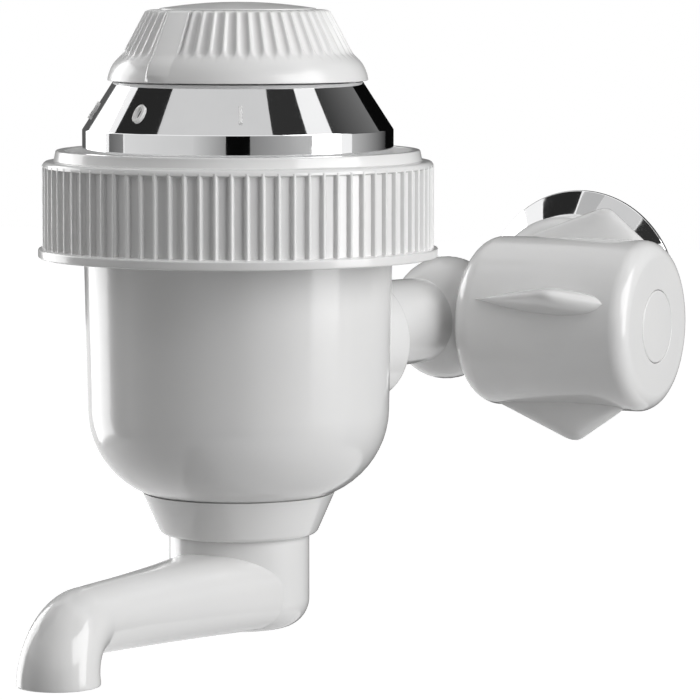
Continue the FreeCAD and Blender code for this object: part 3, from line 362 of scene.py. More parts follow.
cup_r = 42.5
cup_low_r = 41.1
cup_floor = -44.2
cup_corner = 24.5
cup_flare = 22.9        # height at which the side flares out to the rim in the ring nut
cup_rim_r = 49.3
cup_rim_bore_r = 46.0
cup_rim_top = 41.0
ledge = 25.5
wall = 3.0
outlet_r = 12.05        # way out through the cup's neck, down into the spout
cup_neck_r = 17.5
cup_neck_low = -51.5
cup_neck_high = -43.0
boss_r = 17.5
boss_root_r = 19.0
boss_bore_r = 9.7
boss_start = 37.0       # along the arm, from the valve's axis
boss_root = 1.5         # how far the boss goes into the cup's side
boss_drop = 3.7

collar_bore_r = 17.6
collar_top_r = 26.6
collar_top = -42.4
collar_bore_top = -43.6
collar_low_r = 21.5
collar_low = -54.0
spout_well_r = 19.9     # room in the collar for the spout's top
spout_well_top = -51.6


def make_cup():
    """Cup with its round bottom and hidden rim, the boss that takes the arm, and the neck for the spout."""
    inner_floor = cup_floor + wall
    cup = turned([(outlet_r, cup_floor), (cup_low_r, cup_floor, cup_corner), (cup_r, cup_flare, 0.3),
                  (cup_rim_r, cup_flare + 1.2), (cup_rim_r, cup_rim_top), (cup_rim_bore_r, cup_rim_top),
                  (cup_rim_bore_r, ledge), (cup_r - wall, ledge),
                  (cup_low_r - wall, inner_floor, cup_corner - wall), (outlet_r, inner_floor)],
                 closed=True, place=on_heater)
    boss_end = arm_reach / MM - cup_low_r + boss_root
    dropped = Matrix.Translation((0, 0, -boss_drop * MM))
    boss = turned([(boss_bore_r, boss_start), (boss_r, boss_start, 1.5), (boss_root_r, boss_end),
                   (boss_bore_r, boss_end)], closed=True, steps=SMALL_STEPS, place=dropped @ on_arm)
    neck = turned([(outlet_r, cup_neck_low), (cup_neck_r, cup_neck_low), (cup_neck_r, cup_neck_high),
                   (outlet_r, cup_neck_high)], closed=True, steps=SMALL_STEPS, place=on_heater)
    piece("heater_cup_body", joined(cup, boss, neck), white, "tap", ["heater_cup"])


def make_collar():
    """Conical collar between the cup and the swivel spout."""
    collar = turned([(collar_bore_r, collar_bore_top), (collar_top_r, collar_top, 0.3),
                     (collar_low_r, collar_low, 1.4), (spout_well_r, collar_low),
                     (spout_well_r, spout_well_top), (collar_bore_r, spout_well_top)],
                    closed=True, steps=MIDDLE_STEPS, place=on_heater)
    piece("collar", collar, white, "tap", ["spout_collar"])


# Ring nut

nut_bore_r = 49.5
nut_seat_r = 48.0       # bore of its top, over the cover
nut_seat_depth = 4.2
nut_top_r = 50.1        # raised collar on the shoulder
nut_top_foot_r = 50.7
shoulder_drop = 3.0     # from the top of the nut to its shoulder
shoulder_round = 1.4
shoulder_height = 1.6
lip_overhang = 1.2      # how far the lip at the foot stands out past the ribs
lip_height = 2.5
rib_count = 80
rib_top = 0.2           # parts of a pitch
rib_foot = 0.4
rib_depth = 1.1
rib_round = 0.34
rib_root = 0.3          # how far the ribs go into the wall and the lip
rib_end_drop = 0.9      # from the shoulder to the upper ends of the ribs, inside its round edge
groove_slope = 0.4      # height in which the grooves between the ribs run out
steps_per_rib = 3


def make_ring_nut():
    """Ring nut: the ribbed wall, with its lip, round shoulder and collar."""
    lip_r = (ring_high.x - ring_low.x) / 2 / MM
    rib_r = lip_r - lip_overhang
    groove_r = rib_r - rib_depth
    shoulder_r = rib_r - 0.1
    low = ring_low.z / MM
    high = ring_high.z / MM
    shoulder = high - shoulder_drop
    shoulder_foot = shoulder - shoulder_height
    seat = high - nut_seat_depth
    shell = turned([(nut_bore_r, low), (lip_r, low, 0.5), (lip_r, low + lip_height, 0.4),
                    (groove_r, low + lip_height + groove_slope), (groove_r, shoulder_foot - groove_slope),
                    (shoulder_r, shoulder_foot), (shoulder_r, shoulder, shoulder_round),
                    (nut_top_foot_r, shoulder, 0.4), (nut_top_r, high, 0.4), (nut_seat_r, high, 0.4),
                    (nut_seat_r, seat), (nut_bore_r, seat)],
                   closed=True, steps=steps_per_rib * rib_count, place=on_heater)
    shells = [shell]
    pitch = 2 * math.pi / rib_count
    foot = rib_r * pitch * rib_foot / 2
    top = rib_r * pitch * rib_top / 2
    rib_low = low + lip_height - rib_root
    rib_high = shoulder - rib_end_drop
    corners = [(groove_r - rib_root, -foot), (groove_r, -foot), (rib_r, -top), (rib_r, top),
               (groove_r, foot), (groove_r - rib_root, foot)]
    for index in range(rib_count):
        rib = bmesh.new()
        verts = [rib.verts.new((x * MM, y * MM, rib_low * MM)) for x, y in corners]
        ends = grown(rib, [rib.faces.new(verts)])
        bmesh.ops.translate(rib, vec=(0, 0, (rib_high - rib_low) * MM), verts=ends)
        edges = [e for e in rib.edges if all(v.co.x > (rib_r - NEAR) * MM for v in e.verts)]
        rounded(rib, edges, rib_round)
        rib.transform(on_heater @ Matrix.Rotation(index * pitch, 4, "Z"))
        shells.append(rib)
    piece("ribbed_ring_nut", joined(*shells), white, "tap", ["ring_nut"])


# Head: cover, chrome bezel and its numerals

band_r = 42.8           # upright band at the foot of the bezel
band_height = 7.4
band_foot = bezel_low.z / MM
cone_foot = band_foot + band_height
cone_top = bezel_high.z / MM
cone_top_r = 35.9
bezel_bore_r = 41.5
bezel_wall = 0.8
bezel_over = 0.3        # how far the bezel's rim stands above the cover
bezel_gap = 0.1

cover_r = 49.3
cover_foot = 45.0
cover_shelf = 48.0      # height at which the cover steps in to pass the ring nut
cover_shelf_r = 47.6
cover_band_r = 41.4     # under the bezel's band
cover_cone_r = 34.6
cover_roof_r = 33.4
cover_inner_r = 38.0
cover_inner_roof_r = 30.0
cover_wall = 3.0
shaft_hole_r = 5.05

cable_hole_r = 4.7
cable_hole_start = 25.0     # distances from the heater's axis
cable_hole_end = 55.0


def make_head():
    """White cover that shows below the chrome, and the chrome bezel, which runs up to the knob."""
    roof = cover_top / MM
    rim = roof + bezel_over
    rim_r = band_r - (band_r - cone_top_r) * (rim - cone_foot) / (cone_top - cone_foot)
    cover = turned([(cover_r, cover_foot), (cover_r, cover_shelf, 0.2), (cover_shelf_r, cover_shelf),
                    (cover_shelf_r, band_foot - bezel_gap, 0.5), (cover_band_r, band_foot - bezel_gap),
                    (cover_band_r, cone_foot), (cover_cone_r, cone_top - bezel_gap),
                    (cover_roof_r, roof - bezel_gap), (shaft_hole_r, roof - bezel_gap),
                    (shaft_hole_r, roof - cover_wall), (cover_inner_roof_r, roof - cover_wall),
                    (cover_inner_r, cone_foot), (cover_inner_r, cover_foot)], closed=True, place=on_heater)
    cover = drilled(cover, on_cable, cable_hole_r, cable_hole_start, cable_hole_end)
    piece("head_cover", cover, white, "tap", ["top_cover"])
    bezel = turned([(bezel_bore_r, band_foot), (band_r, band_foot, 0.25), (band_r, cone_foot, 0.16),
                    (rim_r, rim), (rim_r - bezel_wall, rim), (rim_r - bezel_wall, rim - bezel_wall),
                    (cone_top_r - 1.0, cone_top - 1.2), (bezel_bore_r, cone_foot - 0.4)],
                   closed=True, steps=MIRROR_STEPS, place=on_heater)
    bezel = drilled(bezel, on_cable, cable_hole_r, cable_hole_start, cable_hole_end)
    piece("chrome_bezel", bezel, chrome, "tap", ["bezel"])


numeral_height = 5.4
numeral_proud = 0.5
numeral_half = 0.5      # half of a numeral's thickness, with what is sunk in the cone
numeral_weld = 0.005
figure_part = 0.72      # height of a figure in the built-in font, as a part of its size
knob_range = 43         # degrees from the middle setting to the one on each side


def make_numerals():
    """Plain raised numerals on the bezel's cone, one for each place of the knob."""
    rise = cone_top - cone_foot
    run = band_r - cone_top_r
    slope = math.hypot(rise, run)
    start = (slope - numeral_height) / 2 * MM
    for text, place in (("2", -knob_range), ("0", 0), ("1", knob_range)):
        curve = bpy.data.curves.new("numeral_" + text, "FONT")
        curve.body = text
        curve.align_x = "CENTER"
        curve.size = numeral_height * MM / figure_part
        curve.extrude = numeral_half * MM
        curve.bevel_depth = 0.08 * MM
        curve.resolution_u = 6
        holder = bpy.data.objects.new("numeral_" + text, curve)
        bpy.context.scene.collection.objects.link(holder)
        bpy.context.view_layer.update()
        flat = bpy.data.meshes.new_from_object(holder)
        bpy.data.objects.remove(holder)
        mesh = bmesh.new()
        mesh.from_mesh(flat)
        bpy.data.meshes.remove(flat)
        bmesh.ops.remove_doubles(mesh, verts=mesh.verts, dist=numeral_weld * MM)
        for vert in mesh.verts:
            along = (vert.co.y + start) / (slope * MM)
            radius = (band_r - run * along) * MM
            lift = vert.co.z - numeral_half * MM + numeral_proud * MM
            angle = vert.co.x / radius
            radius += lift * rise / slope
            height = cone_foot * MM + along * rise * MM + lift * run / slope
            vert.co = (radius * math.sin(angle), -radius * math.cos(angle), height)
        mesh.transform(on_dial @ Matrix.Rotation(math.radians(place), 4, "Z"))
        piece("numeral_" + text, mesh, enamel, "tap")


# Selector knob, with heights from its foot

knob_bore_r = 9.0
knob_hollow = 4.0       # height of the hollow under the knob, at its bore
skirt_r = 35.9
skirt_flat = 2.6
skirt_sweep = ((35.55, 1.6), (35.3, 2.4), (34.9, 3.4), (34.3, 4.5), (33.5, 5.5), (32.6, 6.4), (31.9, 7.1),
               (31.5, 7.6))     # (radius, height) points up to the waist
waist_r = 31.2
waist_top = 8.2
side_top = 19.0
side_parts = (0, 0.06, 0.12, 0.2, 0.3, 0.45, 0.6, 0.8, 1)     # rows of points, close where flutes start
crown_r = 25.4
crown_edge = 1.4
plain_r = 21.6          # nothing nearer to the axis than this is fluted

flute_count = 52
flute_depth = 0.9
flute_half = 0.38       # parts of the pitch from a flute's middle to its edge
flute_start = 7.0
flute_round = 2.0       # height of a flute's round lower end
steps_per_flute = 12

ridge_start = -2.0      # degrees: foot and crest of the pointer's steep edge, and where its slope ends
ridge = 0.4
ridge_end = 10.5
ridge_rise = 2.6
ridge_foot = 0.4        # height at which the ridge starts
ridge_full = 7.5        # height from which it stands out in full
ridge_foot_part = 0.25  # part of its rise that it has at the knob's foot
plain_before = 0.3      # degrees beside the ridge that have no flute
plain_after = 0.5

cap_well_r = 19.9
cap_well_depth = 1.0
cap_plug_r = 19.8
cap_r = 21.5
cap_gap = 0.05
cap_edge = 0.35
cap_parts = (0.97, 0.85, 0.7, 0.55, 0.4, 0.2, 0)    # rings of the cap's low dome, from its rim in


def flute(angle, height):
    """How deep the knob's side is cut in at an angle from its pointer, and a height above its foot."""
    if ridge_start - plain_before < angle < ridge_end + plain_after or height < flute_start:
        return 0.0
    pitch = 360 / flute_count
    off = abs((angle + 180) % pitch / pitch - 0.5) / flute_half
    down = max(0.0, 1 - (height - flute_start) / flute_round)
    return flute_depth * math.sqrt(max(0.0, 1 - off ** 2 - down ** 2))


def pointer(angle, height):
    """How far the pointer's ridge stands out there: steep on its left, and sloping off to the right."""
    if not ridge_start < angle < ridge_end or height < ridge_foot:
        return 0.0
    climb = math.sin(math.pi / 2 * min(1.0, (angle - ridge_start) / (ridge - ridge_start)))
    slope = min(1.0, (ridge_end - angle) / (ridge_end - ridge))
    proud = min(1.0, ridge_foot_part + (1 - ridge_foot_part) * height / ridge_full)
    return ridge_rise * climb * slope * proud


def make_knob():
    """Knob with its flutes and the pointer's ridge, and the crown cap in its top."""
    base = knob_low.z / MM
    roof = knob_high.z / MM
    sweep = [(r, base + z) for r, z in skirt_sweep]
    side = [(waist_r + (crown_r - waist_r) * part, base + waist_top + (side_top - waist_top) * part)
            for part in side_parts]
    knob = turned([(knob_bore_r, base + knob_hollow), (skirt_r - skirt_flat, base), (skirt_r, base, 0.4)]
                  + sweep + side[:-1]
                  + [(*side[-1], 0.3), (crown_r - crown_edge, roof, 0.3), (cap_well_r, roof),
                     (cap_well_r, roof - cap_well_depth), (knob_bore_r, roof - cap_well_depth)],
                  closed=True, steps=flute_count * steps_per_flute)
    for vert in knob.verts:
        radius = math.hypot(vert.co.x, vert.co.y)
        if radius < plain_r * MM:
            continue
        angle = math.degrees(math.atan2(vert.co.x, -vert.co.y))
        height = vert.co.z / MM - base
        scale = 1 + (pointer(angle, height) - flute(angle, height)) * MM / radius
        vert.co.x *= scale
        vert.co.y *= scale
    knob.transform(on_dial)
    piece("fluted_knob", knob, knob_white, "selector", ["selector_knob"])
    foot = roof - cap_well_depth + cap_gap
    rim = roof + cap_edge
    dome = cap_top / MM
    crown = [(cap_r * part, rim + (dome - rim) * (1 - part ** 2)) for part in cap_parts]
    cap = turned([(0, foot), (cap_plug_r, foot), (cap_plug_r, roof + cap_gap), (cap_r, roof + cap_gap),
                  (cap_r, rim, 0.2)] + crown, place=on_heater)
    piece("crown_cap", cap, knob_white, "selector", ["knob_cap"])


# Handle, with its wings measured along it from its back

handle_r = 24.5
handle_back_round = 7.0
handle_front_round = 5.0
handle_inner_r = 21.5
handle_inner_round = 4.0
handle_hub_r = 15.5     # opening at the back, for the valve's socket
handle_wall = 3.0
handle_web = 5.0        # thickness of its front
pocket_r = 10.55        # shallow pocket in the front, for the end cap
pocket_depth = 2.6
screw_hole_r = 6.0
end_cap_r = 10.4
end_cap_depth = 2.5
end_cap_proud = 0.1

wing_count = 4
wing_tilt = 18.5
wing_r = 34.4
wing_start = 8.4
wing_peak = 34.5
wing_end = 48.2
wing_half = 3.6
wing_blunt = 0.86       # part of the climb to the wing's peak at which its crest starts to round off
wing_widest = 0.68      # part of the wing's length at which it is thickest
wing_least = 0.12       # half of its thickness at its ends
wing_root = 2.2         # how far it goes into the drum
wing_stations = 30
wing_steps = 40


def wing_rings(start):
    """Ellipses of one wing, along the handle: pointed at the back, widest and blunt at the front."""
    rings = []
    peak = wing_blunt + (1 - wing_blunt) / 2
    for index in range(wing_stations + 1):
        part = index / wing_stations
        along = wing_start + (wing_end - wing_start) * part
        if along < wing_peak:
            flank = (along - wing_start) / (wing_peak - wing_start)
        else:
            flank = max(0.0, (wing_end - along) / (wing_end - wing_peak))
        if flank > wing_blunt:
            left = 1 - (flank - wing_blunt) / (1 - wing_blunt)
            flank = peak - (1 - wing_blunt) / 2 * left ** 2
        tall = (wing_r - handle_r) * flank / peak + wing_root
        if part < wing_widest:
            width = wing_half * math.sin(math.pi / 2 * part / wing_widest) ** 0.9
        else:
            past = (part - wing_widest) / (1 - wing_widest)
            width = wing_half * math.sqrt(max(0.0, 1 - past ** 2.4))
        width = max(width, wing_least)
        place = Matrix.Translation(((handle_r - wing_root) * MM, 0, (start + along) * MM))
        rings.append((place @ Matrix.Diagonal((tall * MM, width * MM, 1, 1)), OVAL))
    return rings


def make_handle():
    """Drum of the handle with its four wings, and the round cap on its end."""
    start = handle_low.x / MM
    end = handle_high.x / MM
    drum = turned([(handle_hub_r, start + handle_wall), (handle_hub_r, start, 0.4),
                   (handle_r, start, handle_back_round), (handle_r, end, handle_front_round),
                   (pocket_r, end, 0.25), (pocket_r, end - pocket_depth),
                   (screw_hole_r, end - pocket_depth), (screw_hole_r, end - handle_web),
                   (handle_inner_r, end - handle_web),
                   (handle_inner_r, start + handle_wall, handle_inner_round)],
                  closed=True, steps=LARGE_STEPS)
    shells = [drum]
    for index in range(wing_count):
        wing = lofted(wing_rings(start), wing_steps)
        turn = -90 - wing_tilt + index * 360 / wing_count
        wing.transform(Matrix.Rotation(math.radians(turn), 4, "Z"))
        shells.append(wing)
    whole = joined(*shells)
    whole.transform(on_handle)
    piece("winged_handle", whole, white, "handle", ["handle"])
    cap = turned([(0, end - end_cap_depth), (end_cap_r, end - end_cap_depth),
                  (end_cap_r, end + end_cap_proud, 0.45), (0, end + end_cap_proud)],
                 steps=SMALL_STEPS, place=on_handle)
    piece("handle_end_cap", cap, white, "handle", ["handle_cap"])


# Valve body, with its bell measured from the wall, and wall flange

bell_r = 25.0
bell_foot = 7.7         # height of its open end over the wall
bell_back = 21.2
bell_back_round = 8.0
bell_inner_r = 22.5
bell_inner_back = 14.2
bell_shoulder_r = 16.0
bell_shoulder_end = 26.2
tube_r = 11.4
tube_start = 3.1
tube_root_r = 13.9      # thicker root of the tube, in the bell
inlet_bore_r = 9.05
inlet_bore_end = 21.0

ball_r = 17.9
ball_half = 15.2        # from its middle to each of its flats
ball_flat_r = 2.7       # radius at which the ball's curve meets a flat
ball_steps = 24
socket_r = 13.5
socket_end = 19.0
stub_r = 12.1           # the arm's stub, which widens towards the boss, and its spigot in the boss
stub_end_r = 12.6
stub_end = 36.9
spigot_r = 9.5
spigot_end = 53.9


def ball_curve():
    """Round side of the ball, as an arc between its two flats."""
    middle_r = (ball_flat_r ** 2 + ball_half ** 2 - ball_r ** 2) / (2 * (ball_flat_r - ball_r))
    size = ball_r - middle_r
    limit = math.asin(ball_half / size)
    turns = [-limit + 2 * limit * index / ball_steps for index in range(ball_steps + 1)]
    return [(middle_r + size * math.cos(turn), size * math.sin(turn)) for turn in turns]


def make_valve():
    """Valve body: the bell at the wall, the tube, the ball, the socket and the arm."""
    tube_end = -valve.y / MM
    bell = turned([(0, inlet_bore_end), (inlet_bore_r, inlet_bore_end), (inlet_bore_r, tube_start),
                   (tube_r, tube_start), (tube_r, bell_foot), (tube_root_r, bell_foot),
                   (tube_root_r, bell_inner_back),
                   (bell_inner_r, bell_inner_back), (bell_inner_r, bell_foot), (bell_r, bell_foot, 0.6),
                   (bell_r, bell_back, bell_back_round), (bell_shoulder_r, bell_back, 1.5),
                   (tube_r, bell_shoulder_end, 1.5), (tube_r, tube_end), (0, tube_end)],
                  steps=MIDDLE_STEPS, place=from_wall)
    ball = turned([(0, -ball_half)] + ball_curve() + [(0, ball_half)], steps=SMALL_STEPS, place=on_handle)
    socket = turned([(0, 0), (socket_r, 0), (socket_r, socket_end, 0.5), (0, socket_end)],
                    steps=SMALL_STEPS, place=on_handle)
    arm = turned([(0, 0), (stub_r, 0), (stub_end_r, stub_end, 0.4), (spigot_r, stub_end),
                  (spigot_r, spigot_end, 0.4), (0, spigot_end)], steps=SMALL_STEPS, place=on_arm)
    piece("valve_casting", joined(bell, ball, socket, arm), white, "tap", ["valve_body"])


trim_rim = 1.2          # height of the trim's upright rim at the wall
trim_inner_r = 30.9
trim_top_r = 25.3
trim_top_inner_r = 23.8
trim_plate = 1.2
trim_bore_r = 11.6


def make_flange():
    """Conical chrome trim against the wall."""
    trim_r = (flange_high.x - flange_low.x) / 2 / MM
    top = -flange_low.y / MM
    inner_top = top - trim_plate
    flange = turned([(trim_inner_r, 0), (trim_r, 0, 0.3), (trim_r, trim_rim, 0.35), (trim_top_r, top, 0.3),
                     (trim_bore_r, top), (trim_bore_r, inner_top), (trim_top_inner_r, inner_top),
                     (trim_inner_r, 0.5)], closed=True, steps=LARGE_STEPS, place=from_wall)
    piece("wall_trim", flange, chrome, "tap", ["wall_flange"])


# Spout

neck_r = 19.5
neck_round = 8.0
spout_top = -51.9
spout_bottom = -80.0
root_r = 19.2           # half of the arm's width where it leaves the neck, and half of its height
root_half = 11.3
root_power = 3.2        # its squareness there, which fades out along this part of the arm
root_fade = 0.8
hollow_start = 1.3      # powers that shape its hollow sides, and its even top and bottom
hollow = 2.6
taper = 0.8
tip_r = 9.0
mouth_r = 11.0
arm_z = -69.2
tip_z = -67.0
spout_reach = 96.0
elbow = 14.0
mouth_z = -82.0
mouth_bore_r = 8.25
mouth_depth = 6.0
mouth_round = 0.45
arm_stations = 28
elbow_stations = 20
spout_steps = 64


def spout_rings():
    """Ovals along the spout: the arm that narrows from the neck, the elbow and the turned-down end."""
    rings = []
    arm_end = spout_reach - elbow
    for index in range(arm_stations):
        part = index / arm_stations
        wide = tip_r + (root_r - tip_r) * (1 - part ** hollow_start) ** hollow
        tall = tip_r + (root_half - tip_r) * (1 - part) ** taper
        power = OVAL + (root_power - OVAL) * max(0.0, 1 - part / root_fade)
        place = Matrix.Translation((0, -arm_end * part * MM, (arm_z + (tip_z - arm_z) * part) * MM))
        place = place @ Matrix.Rotation(math.pi / 2, 4, "X")
        rings.append((place @ Matrix.Diagonal((wide * MM, tall * MM, 1, 1)), power))
    for index in range(elbow_stations + 1):
        part = index / elbow_stations
        turn = math.pi / 2 * part
        y = -arm_end - elbow * math.sin(turn)
        z = tip_z - elbow + elbow * math.cos(turn)
        radius = tip_r + (mouth_r - tip_r) * part
        place = Matrix.Translation((0, y * MM, z * MM)) @ Matrix.Rotation(math.pi / 2 + turn, 4, "X")
        rings.append((place @ Matrix.Diagonal((radius * MM, radius * MM, 1, 1)), OVAL))
    end = Matrix.Translation((0, -spout_reach * MM, mouth_z * MM)) @ Matrix.Rotation(math.pi, 4, "X")
    rings.append((end @ Matrix.Diagonal((mouth_r * MM, mouth_r * MM, 1, 1)), OVAL))
    return rings


def make_spout():
    """Swivel spout: its neck, and the arm that bends down to the mouth."""
    neck = turned([(0, spout_top), (neck_r, spout_top, 0.3), (neck_r, spout_bottom, neck_round),
                   (0, spout_bottom)], steps=MIDDLE_STEPS)
    run = lofted(spout_rings(), spout_steps)
    mouth = [f for f in run.faces if all(v.co.z < (mouth_z + NEAR) * MM for v in f.verts)]
    bmesh.ops.inset_region(run, faces=mouth, thickness=(mouth_r - mouth_bore_r) * MM, depth=0)
    floor = grown(run, mouth)
    bmesh.ops.delete(run, geom=mouth, context="FACES")
    bmesh.ops.translate(run, vec=(0, 0, mouth_depth * MM), verts=floor)
    rim = [e for e in run.edges if all(v.co.z < (mouth_z + NEAR) * MM for v in e.verts)]
    rounded(run, rim, mouth_round)
    whole = joined(neck, run)
    whole.transform(on_heater)
    piece("swivel_spout", whole, spout_white, "spout", ["spout"])


# Return spring, inside the head

spring_turns = 4
spring_wire_r = 0.5
spring_steps = 24       # to a turn
wire_steps = 10


def make_spring():
    """Wound return spring between the pressure plate and the contact block."""
    low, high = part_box("return_spring")
    coil_r = (high.x - low.x) / 2 - spring_wire_r * MM
    rise = high.z - low.z - 2 * spring_wire_r * MM
    steps = spring_turns * spring_steps
    mesh = bmesh.new()
    foot = Matrix.Translation((coil_r, 0, low.z + spring_wire_r * MM))
    first = bmesh.ops.create_circle(mesh, segments=wire_steps, radius=spring_wire_r * MM, cap_ends=False,
                                    matrix=foot @ Matrix.Rotation(math.pi / 2, 4, "X"))["verts"]
    wound = bmesh.ops.spin(mesh, geom=mesh.verts[:] + mesh.edges[:], cent=(0, 0, 0), axis=(0, 0, 1),
                           dvec=(0, 0, rise / steps), angle=2 * math.pi * spring_turns, steps=steps)
    last = [v for v in wound["geom_last"] if isinstance(v, bmesh.types.BMVert)]
    for loop in (first, last):
        bmesh.ops.contextual_create(mesh, geom=loop)
    bmesh.ops.recalc_face_normals(mesh, faces=mesh.faces)
    mesh.transform(on_heater)
    spring = piece("contact_spring", mesh, steel, "tap", ["return_spring"])
    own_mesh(spring)


# Stage, lights and camera

camera_turn = math.radians(27.5)
camera_pitch = math.radians(5.39)
camera_side = 28.3      # from the valve's centre: across the view, back along it, and up
camera_back = 1212.3
camera_height = 104.75
film_width = 36.0
focal_pixels = 4155     # focal length, in the photograph's pixels
picture_pixels = 700

stage_centre = Vector((-0.01, -0.14, 0.0))      # point that lamps and boards face
ambient = 0.10
floor_half = 12.0
floor_z = -0.9
floor_tone = 0.55
floor_glow = 0.92


def camera_frame():
    """Directions from the tap: to the image's right, and away from the camera."""
    right = Vector((math.cos(camera_turn), math.sin(camera_turn), 0))
    away = Vector((-math.sin(camera_turn), math.cos(camera_turn), 0))
    return right, away


def make_camera():
    """Camera at the photograph's place, to the right of straight in front and a little above."""
    right, away = camera_frame()
    data = bpy.data.cameras.new("camera")
    data.sensor_width = film_width
    data.lens = film_width * focal_pixels / picture_pixels
    data.clip_end = 50
    made = bpy.data.objects.new("camera", data)
    level = valve - right * camera_side * MM - away * camera_back * MM
    made.location = level + Vector((0, 0, camera_height * MM))
    made.rotation_euler = (math.pi / 2 - camera_pitch, 0, camera_turn)
    bpy.context.scene.collection.objects.link(made)
    bpy.context.scene.camera = made


def bearing(turn, height):
    """Direction at an angle to the right of the camera's side of the tap, and above the level."""
    right, away = camera_frame()
    level = right * math.sin(math.radians(turn)) - away * math.cos(math.radians(turn))
    return level * math.cos(math.radians(height)) + Vector((0, 0, math.sin(math.radians(height))))


def soft_box(name, turn, height, distance, width, tall, power, glossy=True):
    """Area lamp that faces the tap, at a bearing and a height in degrees."""
    data = bpy.data.lights.new(name, "AREA")
    data.shape = "RECTANGLE"
    data.size = width
    data.size_y = tall
    data.energy = power
    made = bpy.data.objects.new(name, data)
    out = bearing(turn, height)
    made.location = stage_centre + out * distance
    made.rotation_euler = out.to_track_quat("Z", "Y").to_euler()
    made.visible_glossy = glossy
    bpy.context.scene.collection.objects.link(made)


def card(name, turns, heights, distance, tone, last_tone=None):
    """Curved board that only reflections show, between two bearings and two heights in degrees.
    Its tone goes over to the last one from its first bearing to its second."""
    mesh = bmesh.new()
    mesh.loops.layers.uv.new("UVMap")
    bmesh.ops.create_grid(mesh, x_segments=12, y_segments=6, size=0.5, calc_uvs=True)
    for vert in mesh.verts:
        turn = turns[0] + (turns[1] - turns[0]) * (vert.co.x + 0.5)
        height = heights[0] + (heights[1] - heights[0]) * (vert.co.y + 0.5)
        vert.co = stage_centre + bearing(turn, height) * distance
    material, tree, shader = new_material(name)
    shader.inputs["Base Color"].default_value = (0.004, 0.004, 0.004, 1)
    shader.inputs["Roughness"].default_value = 1.0
    shader.inputs["Specular IOR Level"].default_value = 0.0
    shader.inputs["Emission Color"].default_value = (1, 1, 1, 1)
    shader.inputs["Emission Strength"].default_value = tone
    if last_tone is not None:
        across = tree.nodes.new("ShaderNodeSeparateXYZ")
        where = tree.nodes.new("ShaderNodeTexCoord")
        tree.links.new(where.outputs["UV"], across.inputs["Vector"])
        fade = tree.nodes.new("ShaderNodeMapRange")
        fade.inputs["To Min"].default_value = tone
        fade.inputs["To Max"].default_value = last_tone
        tree.links.new(across.outputs["X"], fade.inputs["Value"])
        tree.links.new(fade.outputs["Result"], shader.inputs["Emission Strength"])
    made = shown(name, mesh)
    made.data.materials.append(material)
    made.visible_camera = False
    made.visible_diffuse = False
    made.visible_shadow = False
    made.visible_transmission = False


def seen_directly(tree):
    """1 where a camera, mirror or glass ray sees a surface, and 0 for the light that it gives."""
    path = tree.nodes.new("ShaderNodeLightPath")
    seen = path.outputs["Is Camera Ray"]
    for ray in ("Is Glossy Ray", "Is Transmission Ray"):
        either = tree.nodes.new("ShaderNodeMath")
        either.operation = "MAXIMUM"
        tree.links.new(seen, either.inputs[0])
        tree.links.new(path.outputs[ray], either.inputs[1])
        seen = either.outputs[0]
    return seen


def make_world():
    """White to the camera and in reflections, and dimmer as a source of light."""
    world = bpy.data.worlds.new("studio")
    bpy.context.scene.world = world
    world.use_nodes = True
    tree = world.node_tree
    background = tree.nodes["Background"]
    background.inputs["Color"].default_value = (1, 1, 1, 1)
    strength = tree.nodes.new("ShaderNodeMapRange")
    strength.inputs["To Min"].default_value = ambient
    strength.inputs["To Max"].default_value = 1.0
    tree.links.new(seen_directly(tree), strength.inputs["Value"])
    tree.links.new(strength.outputs["Result"], background.inputs["Strength"])


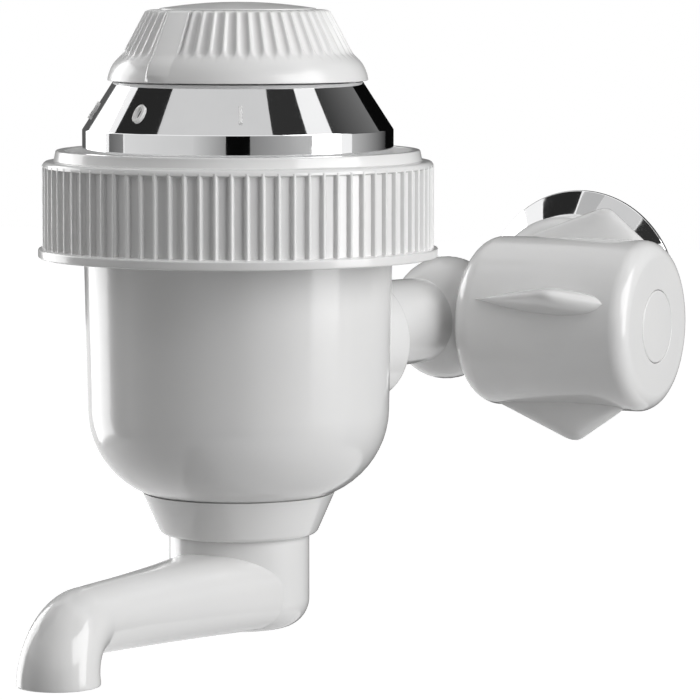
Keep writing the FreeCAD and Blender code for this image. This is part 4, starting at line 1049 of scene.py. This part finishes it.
def make_floor():
    """Plain pale floor below the tap, which also glows where it is seen directly."""
    mesh = bmesh.new()
    bmesh.ops.create_grid(mesh, x_segments=1, y_segments=1, size=floor_half)
    bmesh.ops.translate(mesh, vec=(0, 0, floor_z), verts=mesh.verts)
    material, tree, shader = new_material("floor")
    shader.inputs["Base Color"].default_value = (floor_tone, floor_tone, floor_tone, 1)
    shader.inputs["Roughness"].default_value = 0.9
    shader.inputs["Emission Color"].default_value = (1, 1, 1, 1)
    glow = tree.nodes.new("ShaderNodeMath")
    glow.operation = "MULTIPLY"
    glow.inputs[1].default_value = floor_glow
    tree.links.new(seen_directly(tree), glow.inputs[0])
    tree.links.new(glow.outputs[0], shader.inputs["Emission Strength"])
    made = shown("floor", mesh)
    made.data.materials.append(material)


def light_studio():
    """Large box on the right, tall one on the left behind, weak ones above and on the left, and the
    boards round the tap that its bright metal mirrors."""
    soft_box("right_box", 60, 18, distance=1.3, width=1.0, tall=1.2, power=17.0)
    soft_box("left_box", -127, 6, distance=1.2, width=0.75, tall=1.1, power=9.5)
    soft_box("left_fill", -95, 25, distance=1.4, width=1.2, tall=1.2, power=5.2, glossy=False)
    soft_box("top_box", -20, 70, distance=1.2, width=0.9, tall=0.9, power=3.0, glossy=False)
    front_band = (-22, 10)
    card("board_front", (-9, 7.5), front_band, distance=0.80, tone=0.0)
    card("board_left", (-31, -9), front_band, distance=0.82, tone=0.62, last_tone=0.3)
    card("board_far_left", (-86, -31), front_band, distance=0.82, tone=0.74, last_tone=0.64)
    card("board_left_stripe", (-103, -87), front_band, distance=0.82, tone=0.13, last_tone=0.24)
    card("board_right", (7.5, 53), front_band, distance=0.82, tone=0.24, last_tone=0.52)
    card("board_over", (-75, 32), (40, 88), distance=0.84, tone=0.66)
    card("board_over_left", (-112, -75), (30, 62), distance=0.86, tone=0.02)
    card("board_over_right", (32, 66), (38, 64), distance=0.86, tone=0.03)
    card("board_over_wall", (-131, -114), (43, 68), distance=0.86, tone=0.02)
    card("board_top", (-116, -75), (69, 88), distance=0.86, tone=0.5)
    card("board_rear_band", (90, 139), (-30, 10), distance=0.88, tone=0.5, last_tone=0.04)
    card("board_rear_right", (90, 139), (10, 55), distance=0.88, tone=0.04, last_tone=0.17)
    card("board_rear", (139, 180), (-30, 55), distance=0.88, tone=0.0)
    card("board_rear_left", (-180, -146), (-5, 40), distance=0.88, tone=0.1)
    make_world()


bpy.context.scene.view_settings.view_transform = "Standard"
make_camera()
dress_nodes()
make_cup()
make_collar()
make_ring_nut()
make_head()
make_numerals()
make_knob()
make_handle()
make_valve()
make_flange()
make_spout()
make_spring()
make_floor()
light_studio()
